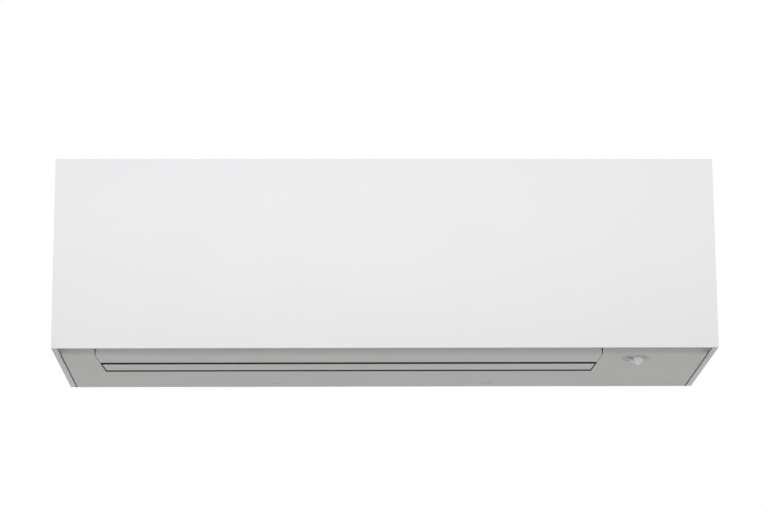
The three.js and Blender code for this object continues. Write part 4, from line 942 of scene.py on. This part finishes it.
@dataclass
class Coil:
    """The folded coil: fins, tubes and end plates."""

    left: float = -441.7
    right: float = 331.7
    thickness: float = 27.0
    fin: float = 0.3
    fin_inset: float = 0.2
    pitch: float = 1.7
    tube_radius: float = 3.5
    plate: float = 2.2
    plate_seat: float = 0.3
    plate_margin: float = 1.0
    bend_reach: float = 3.0
    legs: tuple[Leg, Leg] = (
        Leg("front", (51.46, 63.37), math.radians(25.0), 200.0),
        Leg("rear", (250.99, 128.27), math.radians(-36.0), 148.0),
    )

    def build(self) -> None:
        """Makes the fins and tubes of both legs and the plates with their bends."""
        for leg in self.legs:
            self._fins(leg)
        for node, side in (("coil_plate_left", -1), ("coil_plate_right", 1)):
            self._plate(node, side)

    def _fins(self, leg: Leg) -> None:
        """Makes the fins and tubes of one leg."""
        count = int((self.right - self.left - self.fin) / self.pitch)
        fins = bar_row(
            count + 1, leg.point(self.left + self.fin, leg.length / 2), X_AXIS * (self.pitch * MM),
            Vector((self.fin, self.thickness - self.fin_inset, leg.length - self.fin_inset)),
            FIN_ALUMINIUM, -leg.lean,
        )
        node = f"coil_{leg.name}_leg"
        settle(f"{node}_fins", fins, FIN_ALUMINIUM, Body.CABINET, [node])
        tubes = Shape()
        for row in range(2 * leg.pairs):
            ends = [leg.tube(x, row) for x in (self.left + 0.1, self.right - 0.1)]
            tubes.swept(ends, self.tube_radius * MM, 16)
        tubes.piece(f"{node}_tubes", PIPE_COPPER, Body.CABINET)

    def _plate(self, node: str, side: int) -> None:
        """Makes an end plate with its copper bends.

        Args:
            node: The plate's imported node.
            side: -1 at the left end, 1 at the right end.
        """
        near = self.right + self.plate_seat if side > 0 else self.left - self.plate_seat - self.plate
        outer = near + self.plate if side > 0 else near
        run = X_AXIS * (self.plate * MM)
        half = (self.thickness / 2 + self.plate_margin) * MM
        sheet = Shape()
        for leg in self.legs:
            corners = ((-half, 0.0), (half, 0.0), (half, leg.length), (-half, leg.length))
            sheet.prism([leg.point(near, along) + leg.across * off for off, along in corners], run)
        top, crest = (leg.point(near, leg.length) for leg in self.legs)
        bridge = (
            (top, -10.0, -6.0), (top, 6.0, -26.0), (crest, 8.0, -26.0), (crest, 10.0, 4.0),
            (top, -8.0, 4.0),
        )
        sheet.prism([end + Vector((0.0, y, z)) * MM for end, y, z in bridge], run)
        sheet.piece(f"{node}_sheet", ZINC_STEEL, Body.CABINET, [node])
        for leg in self.legs:
            self._bends(leg, outer, side).piece(f"{node}_{leg.name}_bends", PIPE_COPPER, Body.CABINET)

    def _bends(self, leg: Leg, x: float, side: int) -> Shape:
        """Makes the return bends of one leg on the outside of a plate.

        Args:
            leg: The leg.
            x: Outer face of the plate.
            side: -1 at the left end, 1 at the right end.

        Returns:
            The bends.
        """
        open_pairs = 1 if side > 0 and leg.lean < 0 else 0
        half = leg.tube_pitch / 2
        steps = 12
        shape = Shape()
        for pair in range(leg.pairs - open_pairs):
            centre = leg.tube(x, 2 * pair + 0.5)
            path = [centre - leg.rise * (half * MM)]
            for step in range(steps + 1):
                angle = math.pi * step / steps
                out = X_AXIS * (side * (self.bend_reach + half * math.sin(angle)) * MM)
                path.append(centre + out - leg.rise * (half * math.cos(angle) * MM))
            path.append(centre + leg.rise * (half * MM))
            shape.swept(path, self.tube_radius * MM, 16)
        return shape


@dataclass
class Outlet:
    """The duct, its vanes with their link bar, and the two flaps."""

    edge: float = 0.0005
    vanes: int = 12
    left: float = -438.6
    right: float = 329.9
    taper_left: float = 6.5
    taper_right: float = 5.2
    crease: float = 50.0
    chin_top: float = 44.0
    shelf: float = 13.8
    slot_rear: float = 112.5
    outlet_rear: float = 168.0
    end_gap: float = 2.0
    groove: float = 489.95
    panel_back: float = 6.0
    rear_end: float = 289.5
    shade_strip: float = 0.25
    shade_strip_inset: float = 0.02
    shade_strip_height: float = 2.4
    shade_strip_foot: float = 0.15

    def build(self) -> None:
        """Dresses the duct and the vanes, and makes the flaps with rounded edges."""
        dress(["drain_pan", "rear_chassis"], DUCT_GREY)
        for number in range(1, self.vanes + 1):
            soften([f"vane_{number:02d}"], FAN_GREY, f"vane_{number:02d}_blade", 0.0003)
        soften(["vane_link"], FLAP_WHITE, Body.LINK, 0.0003)
        soften(["vane_crank"], FAN_GREY, Body.CRANK, 0.0003)
        soften(["vane_motor", "main_flap_motor", "rear_flap_motor"], ZINC_STEEL, Body.CABINET, 0.0003)
        for node, body in (("main_flap", Body.FRONT_FLAP), ("rear_flap", Body.BACK_FLAP)):
            soften([node], FLAP_WHITE, body, self.edge)
        soften(["drain_plug"], RUBBER_BLACK, Body.CABINET)
        self._lip_shade()
        self._edge_shade()
        self._cover_gap_shade()
        self._chin_ends()

    def _edge(self, side: int, y: float) -> float:
        """Returns where the outlet's left (-1) or right (1) edge is at a depth, in millimetres."""
        reach = (y - self.crease) / (self.outlet_rear - self.crease)
        return self.left + self.taper_left * reach if side < 0 else self.right - self.taper_right * reach

    def _lip_shade(self) -> None:
        """Lines the rear flap's front lip, which shows in the gap behind the main flap, with a black strip
        of painted shade.
        """
        front = self.slot_rear
        left, right = (self._edge(side, front) - side * (self.end_gap + 0.3) for side in (-1, 1))
        lip = (
            (3.6, -0.3), (1.5, -0.5), (-0.2, 0.75), (-0.2, 1.35), (1.7, 3.1), (2.3, 3.1), (0.4, 1.1),
            (2.4, -0.02), (3.6, -0.02),
        )
        outline = [at(left, front + y, underside(front) + z) for y, z in lip]
        # Black strip on the rear flap's lip: painted shade of the slot behind the main flap.
        Shape().prism(outline, X_AXIS * ((right - left) * MM)).piece(
            "rear_flap_lip_painted_shade", RUBBER_BLACK, Body.BACK_FLAP
        )

    def _edge_shade(self) -> None:
        """Lines the outlet's rear edge and its two ends with thin black strips: painted shade of the gaps
        round the flaps.
        """
        front, rear = self.slot_rear, self.outlet_rear
        left, right = (self._edge(side, rear) for side in (-1, 1))
        outer, inner = rear - self.shade_strip_inset, rear - self.shade_strip
        low, high = underside(rear) - 0.45, underside(rear) + self.shade_strip_height
        strips = Shape().prism(
            [at(left, inner, low), at(left, outer, low), at(left, outer, high), at(left, inner, high)],
            X_AXIS * ((right - left) * MM),
        )
        along_flaps = [
            (y, underside(y) + z)
            for y, z in ((front, self.shade_strip_foot), (rear, self.shade_strip_foot), (rear, self.shade_strip_height),
                         (front, self.shade_strip_height))
        ]
        up_the_chin = [
            (self.chin_top + 0.4, self.shelf), (self.chin_top + 2.4, self.shelf),
            (self.crease + 1.0, 0.6), (self.crease - 1.0, 0.9),
        ]
        for side in (-1, 1):
            for corners in (along_flaps, up_the_chin):
                strips.prism(
                    [at(self._edge(side, y) - side * self.shade_strip_inset, y, z) for y, z in corners],
                    X_AXIS * (-side * self.shade_strip * MM),
                )
        # Black strips in the gaps round the flaps: painted shade.
        strips.piece("outlet_edge_painted_shade", RUBBER_BLACK, Body.CABINET)

    def _cover_gap_shade(self) -> None:
        """Lines the gaps between the casing and the side covers with dark grey strips: painted shade in
        those gaps.
        """
        gap_shades = Shape()
        for front, rear, low, high, width in (
            (self.crease, self.rear_end, 0.5, 5.0, 1.0),
            (self.panel_back, self.crease, 0.35, 1.6, 0.9),
            (self.crease, self.rear_end, -0.3, -0.03, 1.9),
        ):
            for side in (-1, 1):
                corners = ((front, low), (rear, low), (rear, high), (front, high))
                gap_shades.prism(
                    [at(side * self.groove, y, underside(y) + z) for y, z in corners],
                    X_AXIS * (-side * width * MM),
                )
        gap_shades.piece("side_cover_gap_painted_shade", GAP_SHADE_GREY, Body.CABINET)

    def _chin_ends(self) -> None:
        """Closes the casing's chin beside the side covers."""
        corners = (
            (self.chin_top, self.shelf + 0.2), (self.crease - 1.2, 1.0), (self.crease + 1.2, -1.3),
            (self.crease + 4.0, -1.2), (self.crease + 4.0, self.shelf + 0.2),
        )
        fills = Shape()
        for side in (-1, 1):
            outline = [at(side * (self.groove - 0.05), y, z) for y, z in corners]
            fills.prism(outline, X_AXIS * (-side * 1.3 * MM))
        fills.piece("casing_chin_ends", CASE_WHITE, Body.CABINET)


@dataclass
class Fan:
    """The cross-flow fan, its bearing and its motor."""

    sides: int = 72
    axis: tuple[float, float] = (168.0, 112.0)
    radius: float = 50.0
    inner_radius: float = 38.5
    left: float = -432.0
    right: float = 322.0
    blades: int = 35
    sections: int = 9
    disc: float = 2.4
    thickness: float = 1.3
    tip_gap: float = 0.6
    blade_sweep: tuple[float, float] = (0.2, 0.1)
    blade_overlap: float = 0.2
    blade_edge: float = 0.45
    blade_steps: int = 6
    stub: float = 5.0
    stub_length: float = 16.0
    hub: float = 9.0
    hub_bore: float = 4.4
    hub_length: float = 24.0
    motor_boss: float = 3.0
    boss_edges: tuple[float, float, float, float] = (18.0, 20.0, 16.0, 14.0)
    can_bore: float = 4.3
    can_bore_depth: float = 25.0
    can_face: float = 38.0
    can_corner: float = 5.0
    can_seam: float = 1.2
    can_rounding: float = 1.0

    def build(self) -> None:
        """Makes the fan and dresses what carries it."""
        self._rotor()
        dress(["motor_shaft"], ZINC_STEEL)
        self._motor()
        soften(["fan_bearing"], RUBBER_BLACK, Body.CABINET)
        soften(["motor_cover"], DUCT_GREY, Body.CABINET)

    def _motor(self) -> None:
        """Makes the motor's pressed can with its two end bosses and its seam."""
        low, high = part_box("fan_motor")
        boss, bore, deep, face = self.motor_boss, self.can_bore, self.can_bore_depth, self.can_face
        start, length = low.x / MM + boss, (high.x - low.x) / MM - 2 * boss
        radius, half = (high.z - low.z) / 2 / MM, length / 2
        seam, corner = radius - self.can_seam, self.can_corner
        near_top, near_foot, far_foot, far_top = self.boss_edges
        can = rounded_profile(
            [(0.0, deep), (bore, deep), (bore, -boss), (near_top, -boss), (near_foot, 0.0), (face, 0.0),
             (radius, corner), (radius, half - 2), (seam, half - 1), (seam, half + 1), (radius, half + 2),
             (radius, length - corner), (face, length), (far_foot, length), (far_top, length + boss),
             (0.0, length + boss)],
            self.can_rounding, 4,
        )
        y, z = self.axis
        Shape().turned_mm(can, at(start, y, z), X_AXIS, self.sides).piece(
            "fan_motor_can", ZINC_STEEL, Body.CABINET, ["fan_motor"]
        )

    def _blade(self, length: float) -> bpy.types.Mesh:
        """Makes one curved blade at the axis.

        Args:
            length: The blade's length in millimetres.

        Returns:
            The blade as a mesh that starts at x = 0.
        """
        sides: tuple[list[Vector], list[Vector]] = ([], [])
        bulge = 1.0 - self.blade_edge
        for i in range(self.blade_steps + 1):
            share = i / self.blade_steps
            radius = self.inner_radius + (self.radius - self.tip_gap - self.inner_radius) * share
            angle = self.blade_sweep[0] * share + self.blade_sweep[1] * share * share
            fullness = self.blade_edge + bulge * math.sin(math.pi * min(1.0, share + 0.15))
            half = self.thickness / 2 * fullness
            for side, sign in zip(sides, (-1.0, 1.0)):
                turned = angle + sign * half / radius
                side.append(Vector((0.0, radius * math.cos(turned), radius * math.sin(turned))) * MM)
        shape = Shape().prism([*sides[0], *reversed(sides[1])], X_AXIS * (length * MM))
        bmesh.ops.recalc_face_normals(shape.bm, faces=shape.bm.faces)
        return shape.mesh("blade")

    def _tree(self) -> RepeatTree:
        """Builds the tree that repeats a blade round the axis and along it.

        Returns:
            A tree with the inputs Blades, Turn, Sections, Step and Place.
        """
        made = RepeatTree("blades_round_an_axis")
        dots = made.add("GeometryNodeMeshLine", {
            "Count": made.size("Blades", "NodeSocketInt"), "Offset": (0.0, 0.0, 0.0),
        })
        index = made.add("GeometryNodeInputIndex")
        angle = made.add(
            "ShaderNodeMath", {0: index.outputs["Index"], 1: made.size("Turn")}, operation="MULTIPLY"
        )
        spin = made.add("ShaderNodeCombineXYZ", {"X": angle.outputs["Value"]})
        wheel = made.add("GeometryNodeInstanceOnPoints", {
            "Points": dots.outputs["Mesh"], "Instance": made.entry.outputs["Geometry"],
            "Rotation": spin.outputs["Vector"],
        })
        line = made.add("GeometryNodeMeshLine", {
            "Count": made.size("Sections", "NodeSocketInt"),
            "Start Location": made.size("Place", "NodeSocketVector"),
            "Offset": made.size("Step", "NodeSocketVector"),
        })
        drum = made.add("GeometryNodeInstanceOnPoints", {
            "Points": line.outputs["Mesh"], "Instance": wheel.outputs["Instances"],
        })
        made.close(drum.outputs["Instances"])
        return made

    def _rotor(self) -> None:
        """Makes the drum of blades with its rings, end discs and stubs."""
        section = (self.right - self.left - self.disc) / self.sections
        blade = self._blade(section - self.disc + 2 * self.blade_overlap)
        y, z = self.axis
        sizes = {
            "Blades": self.blades, "Turn": math.tau / self.blades, "Sections": self.sections,
            "Step": (section * MM, 0.0, 0.0),
            "Place": tuple(at(self.left + self.disc - self.blade_overlap, y, z)),
        }
        drum = self._tree().grown(sizes, FAN_GREY, blade)
        settle("fan_blades", drum, FAN_GREY, Body.FAN)
        outer, inner, thick = self.radius, self.inner_radius - 3, self.disc
        stub, stub_end = self.stub, -self.stub_length
        ring = [(inner, 0.0), (outer, 0.0), (outer, thick), (inner, thick)]
        left_disc = [
            (0.0, stub_end), (stub - 0.6, stub_end), (stub, stub_end + 0.6), (stub, 0.0), (outer, 0.0),
            (outer, thick), (0.0, thick),
        ]
        right_disc = [
            (self.hub_bore, -self.hub_length), (self.hub, -self.hub_length), (self.hub + 3, -thick),
            (outer, -thick), (outer, 0.0), (self.hub_bore, 0.0),
        ]
        turned = [(ring, self.left + section * i) for i in range(1, self.sections)]
        turned += [(left_disc, self.left), (right_disc, self.right)]
        rings = Shape()
        for profile, x in turned:
            rings.turned_mm(profile, at(x, y, z), X_AXIS, self.sides)
        rings.piece("fan_rings", FAN_GREY, Body.FAN, ["cross_flow_fan"])


@dataclass
class SensorEye:
    """The round sensor in the underside: a dish, a ball that swivels in it and a small lens."""

    x: float = 383.0
    y: float = 77.0
    dish: float = 20.0
    dish_depth: float = 7.0
    dish_fall: float = 2.4
    dish_curve: float = 2.5
    flange: float = 3.0
    flange_edges: tuple[float, float] = (4.0, 6.0)
    socket: float = 22.0
    neck: float = 13.5
    collar: float = 12.5
    collar_face: tuple[float, float, float] = (2.8, 3.0, 4.4)
    collar_rim: tuple[float, float] = (22.3, 24.3)
    ball: float = 9.2
    ball_rise: float = 8.85
    ball_offset: tuple[float, float] = (4.0, 6.0)
    barrel: float = 4.3
    lens_root: tuple[float, float, float] = (-2.2, 6.0, -1.3)
    lens_aim: tuple[float, float, float] = (-0.5, -0.62, -0.6)
    rim_shade_reach: float = math.radians(84.0)
    sides: int = 72

    def build(self) -> None:
        """Makes the dish, the ball and the small lens."""
        self._dish()
        self._ball()
        self._lens()

    def _centre(self) -> Vector:
        """Returns the middle of the dish at the underside."""
        return at(self.x, self.y, underside(self.y))

    def _turned(self, profile: Profile, centre: Vector) -> Shape:
        """Makes a solid of revolution about the vertical, from millimetres."""
        return Shape().turned_mm(profile, centre, UP, self.sides)

    def _dish(self) -> None:
        """Makes the dish, a soft hollow with a neck that the ball's collar rests on, and a black crescent of
        painted shade in its front rim.
        """
        neck, rim, wide, steps = self.neck, self.dish, self.dish + self.flange, 8
        low, high = self.flange_edges
        dish = [(rim, 0.2), (rim, low), (wide, low), (wide, high), (rim, high),
                (neck + self.flange, self.socket), (neck, self.socket), (neck, self.dish_depth + 1.0)]
        for step in range(steps + 1):
            share = step / steps
            fall = self.dish_fall * (1.0 - share ** self.dish_curve)
            dish.append((neck + (rim - 1.0 - neck) * share, fall))
        dish.append((rim - 0.6, -0.02))
        self._turned(dish, self._centre()).piece(
            "sensor_dish", CASE_WHITE, Body.CABINET, ["sensor_bezel"], 50.0
        )
        # Painted shade: a black crescent along the dish's front rim, where the rim drops into the shaded
        # hollow.
        Shape().prism(self._crescent(28), UP * (0.5 * MM)).piece(
            "sensor_rim_painted_shade", RUBBER_BLACK, Body.CABINET
        )

    def _crescent(self, steps: int) -> list[Vector]:
        """Draws the black crescent of painted shade in the dish's front rim, thin in its middle and thick at
        its ends.

        Args:
            steps: Number of steps along each side.

        Returns:
            The outline's points.
        """
        shares = [2.0 * step / steps - 1.0 for step in range(steps + 1)]
        points = []
        for taper, run in ((0.0, shares), (1.0, reversed(shares))):
            for share in run:
                angle = -math.pi / 2 + share * self.rim_shade_reach
                radius = self.dish + 0.15 - taper * (0.5 + 1.3 * abs(share) ** 3)
                y = radius * math.sin(angle)
                place = Vector((radius * math.cos(angle), y, underside(y) - 0.06))
                points.append(self._centre() + place * MM)
        return points

    def _ball(self) -> None:
        """Makes the bright ball on its collar."""
        centre = self._centre()
        side, rim = self.collar, self.collar + self.flange
        (crown, edge, wall), (low, high) = self.collar_face, self.collar_rim
        collar = [(0.0, crown), (side - 1.5, edge), (side, wall), (side, low), (rim, low), (rim, high),
                  (0.0, high)]
        self._turned(collar, centre).piece(
            "sensor_collar", SENSOR_WHITE, Body.EYE, ["sensor_ball"], 50.0
        )
        middle = centre + Vector((*self.ball_offset, self.ball - self.ball_rise)) * MM
        steps = 24
        dome = [(0.0, -self.ball)]
        for step in range(1, steps):
            angle = math.pi * (step / steps - 0.5)
            dome.append((self.ball * math.cos(angle), self.ball * math.sin(angle)))
        dome.append((0.0, self.ball))
        self._turned(dome, middle).piece("sensor_ball_dome", EYE_WHITE, Body.EYE, (), 60.0)

    def _lens(self) -> None:
        """Makes the lens barrel that looks out to the front left, with a mid-grey ring of painted shade
        round its base.
        """
        aim = Vector(self.lens_aim).normalized()
        root = self._centre() + Vector(self.lens_root) * MM
        r = self.barrel
        parts = (
            ("sensor_barrel", [(0.0, -2.0), (r, -2.0), (r, 6.6), (r - 0.5, 7.2), (r - 1.2, 7.3),
                               (r - 1.3, 6.4), (0.0, 6.4)], SENSOR_WHITE, ["sensor_lens"]),
            # A solid mid-grey ring round the barrel's base, in the filter strands' grey: painted shade of
            # the gap between barrel and ball.
            ("sensor_barrel_painted_shade", [(0.0, 2.0), (r + 0.35, 2.0), (r + 0.35, 3.9), (0.0, 3.9)],
             FILTER_MESH, []),
            ("sensor_window", [(0.0, 6.5), (r - 1.5, 6.5), (r - 1.9, 7.1), (0.0, 7.7)], EYE_WHITE, []),
        )
        for name, profile, finish, stands_for in parts:
            Shape().turned_mm(profile, root, aim, 40).piece(name, finish, Body.EYE, stands_for, 50.0)


@dataclass(frozen=True)
class PipeRun:
    """One copper pipe: where it starts, drops and runs, in millimetres."""

    name: str
    radius: float
    start: tuple[float, float]
    drop_x: float
    run_z: float


@dataclass
class Pipes:
    """The two copper pipes with their flare nuts and clamp."""

    start_x: float = 334.5
    recess_y: float = 262.0
    end_x: float = -56.0
    fall: float = 22.0
    bend_ratio: float = 3.0
    nut_ratio: float = 1.75
    nut_play: float = 0.3
    nut_collar: float = 0.28
    sides: int = 28
    runs: tuple[PipeRun, ...] = (
        PipeRun("gas", 6.35, (176.6, 230.6), 398.0, 11.0),
        PipeRun("liquid", 3.2, (189.0, 213.6), 370.0, 31.0),
    )

    def build(self) -> None:
        """Makes the pipes and their nuts."""
        for run in self.runs:
            self._pipe(run)
            self._nut(run)
        soften(["pipe_clamp"], DUCT_GREY, Body.CABINET)

    def _pipe(self, run: PipeRun) -> None:
        """Makes one pipe with smooth bends.

        Args:
            run: The pipe's route.
        """
        y, z = run.start
        corners = [
            at(self.start_x, y, z), at(run.drop_x, y + 2, z),
            at(run.drop_x, self.recess_y, z - self.fall), at(run.drop_x, self.recess_y, run.run_z),
            at(self.end_x, self.recess_y, run.run_z),
        ]
        path = bent_path(corners, run.radius * self.bend_ratio * MM, 10)
        Shape().swept(path, run.radius * MM, self.sides).piece(
            f"{run.name}_pipe_tube", PIPE_COPPER, Body.CABINET, [f"{run.name}_pipe"]
        )

    def _nut(self, run: PipeRun) -> None:
        """Makes one flare nut: a chamfered hexagon with a round collar.

        Args:
            run: The pipe that carries it.
        """
        low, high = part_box(f"{run.name}_flare_nut")
        bore = (run.radius + self.nut_play) * MM
        flat = run.radius * self.nut_ratio * MM * math.cos(math.pi / 6)
        centre = at(low.x / MM, self.recess_y, run.run_z)
        length = high.x - low.x
        collar = length * self.nut_collar
        Shape().turned(
            [(bore, 0.0), (flat * 0.92, 0.0), (flat, 0.0008), (flat, length - collar),
             (flat * 1.1, length - collar + 0.0006), (flat * 0.86, length - 0.001), (flat * 0.8, length),
             (bore, length)],
            centre, X_AXIS, 6,
        ).piece(f"{run.name}_nut_hexagon", NUT_BRASS, Body.CABINET, [f"{run.name}_flare_nut"], 25.0)


@dataclass
class Electrics:
    """The control box, its board and blocks, the button and the probes."""

    def build(self) -> None:
        """Dresses the electric pieces."""
        dress(["control_box", "control_box_cover"], DUCT_GREY)
        dress(["circuit_board"], BOARD_GREEN)
        soften(["terminal_block", "air_thermistor"], FAN_GREY, Body.CABINET, 0.0002)
        soften(["cable_clamp"], ZINC_STEEL, Body.CABINET, 0.0002)
        soften(["coil_thermistor"], PIPE_COPPER, Body.CABINET, 0.0003)
        soften(["manual_button"], SIDE_WHITE, Body.BUTTON, 0.0004)


@dataclass
class WallMount:
    """The pressed steel plate on the wall."""

    def build(self) -> None:
        """Dresses the plate."""
        dress(["mounting_plate"], ZINC_STEEL)


# ---- Studio ---------------------------------------------------------------------------------


@dataclass
class Studio:
    """Camera, soft light and pale floor."""

    eye: tuple[float, float, float] = (-0.08519, -3.87071, -0.82914)
    pitch: float = 13.0194
    roll: float = 0.3386
    heading: float = -1.2525
    lens: float = 114.334
    ambient: float = 0.45
    ambient_tint: Colour = (1.0, 0.997, 0.99)
    key: float = 1.72
    key_angle: float = 60.0
    key_direction: tuple[float, float, float] = (0.05, 0.95, -0.3)
    floor_z: float = -2.2
    floor_half: float = 9.0
    floor_lift: float = 0.52
    floor_tone: float = 0.78

    def build(self) -> None:
        """Makes the camera, the lights and the floor."""
        self._camera()
        self._world()
        self._key_light()
        self._floor()

    def _camera(self) -> None:
        """Puts the camera where the photograph was taken from."""
        data = bpy.data.cameras.new("camera")
        data.lens = self.lens
        data.sensor_width = 36.0
        data.clip_start, data.clip_end = 0.05, 50.0
        camera = add_object("camera", data)
        turn = (
            Matrix.Rotation(math.radians(self.heading), 3, "Z")
            @ Matrix.Rotation(math.radians(self.roll), 3, "Y")
            @ Matrix.Rotation(math.radians(self.pitch), 3, "X")
        )
        right, forward, up = (turn @ Vector(axis) for axis in ((1, 0, 0), (0, 1, 0), (0, 0, 1)))
        basis = Matrix((right, up, -forward)).transposed().to_4x4()
        camera.matrix_world = Matrix.Translation(Vector(self.eye)) @ basis
        bpy.context.scene.camera = camera

    def _white_where_seen(
        self, tree: bpy.types.NodeTree, lit: bpy.types.NodeSocket, seen: bpy.types.NodeSocket
    ) -> bpy.types.NodeSocket:
        """Shows one surface to the camera and mirrors, and another to the light.

        Args:
            tree: Node tree that is being built.
            lit: Shader that lights the object.
            seen: Shader that the camera, glossy and transmission rays see.

        Returns:
            The mixed shader.
        """
        rays = add_node(tree, "ShaderNodeLightPath").outputs
        by_eye = rays["Is Camera Ray"]
        for kind in ("Is Transmission Ray", "Is Glossy Ray"):
            by_eye = add_node(
                tree, "ShaderNodeMath", {0: by_eye, 1: rays[kind]}, operation="MAXIMUM"
            ).outputs["Value"]
        return add_node(tree, "ShaderNodeMixShader", {0: by_eye, 1: lit, 2: seen}).outputs["Shader"]

    def _world(self) -> None:
        """Lights the object evenly and shows white behind it."""
        world = bpy.data.worlds.new("studio")
        bpy.context.scene.world = world
        tree = empty_tree(world)
        lit, seen = (
            add_node(tree, "ShaderNodeBackground", {"Color": colour, "Strength": strength}).outputs[0]
            for colour, strength in (
                ((*self.ambient_tint, 1.0), self.ambient), ((1.0, 1.0, 1.0, 1.0), 1.0),
            )
        )
        add_node(tree, "ShaderNodeOutputWorld", {"Surface": self._white_where_seen(tree, lit, seen)})

    def _key_light(self) -> None:
        """Hangs a wide lamp in front of and above the unit."""
        data = bpy.data.lights.new("key", "SUN")
        data.energy = self.key
        data.angle = math.radians(self.key_angle)
        lamp = add_object("key", data)
        lamp.rotation_euler = Vector(self.key_direction).to_track_quat("-Z", "Y").to_euler()

    def _floor_material(self) -> bpy.types.Material:
        """Makes the floor's finish: pale, lifted to white where seen, and open from below.

        Returns:
            The floor's material.
        """
        material = bpy.data.materials.new("floor_white")
        tree = empty_tree(material)
        pale = add_node(tree, "ShaderNodeBsdfPrincipled", {
            "Base Color": (*[self.floor_tone] * 3, 1.0), "Roughness": 0.9, "Specular IOR Level": 0.0,
        })
        lift = add_node(tree, "ShaderNodeEmission", {"Strength": self.floor_lift})
        both = add_node(
            tree, "ShaderNodeAddShader", {0: pale.outputs["BSDF"], 1: lift.outputs["Emission"]}
        )
        above = self._white_where_seen(tree, pale.outputs["BSDF"], both.outputs["Shader"])
        side = add_node(tree, "ShaderNodeNewGeometry").outputs["Backfacing"]
        clear = add_node(tree, "ShaderNodeBsdfTransparent").outputs["BSDF"]
        shown = add_node(tree, "ShaderNodeMixShader", {0: side, 1: above, 2: clear})
        add_node(tree, "ShaderNodeOutputMaterial", {"Surface": shown.outputs["Shader"]})
        return material

    def _floor(self) -> None:
        """Lays a pale floor far below the unit."""
        shape = Shape()
        ends = ((-1, -1), (1, -1), (1, 1), (-1, 1))
        corners = [Vector((x * self.floor_half, y * self.floor_half, self.floor_z)) for x, y in ends]
        shape.bm.faces.new([shape.bm.verts.new(corner) for corner in corners])
        mesh = shape.mesh("floor")
        mesh.materials.append(self._floor_material())
        add_object("floor", mesh)


def main() -> None:
    """Builds the unit piece by piece."""
    logging.basicConfig(level=logging.INFO, format="%(name)s: %(message)s")
    bpy.context.scene.view_settings.view_transform = "Standard"
    for part in (
        Studio(), Cover(), Casing(), Filters(), Coil(), Outlet(), Fan(), SensorEye(), Pipes(),
        Electrics(), WallMount(),
    ):
        LOG.info("building %s", type(part).__name__)
        part.build()


if __name__ == "__main__":
    main()
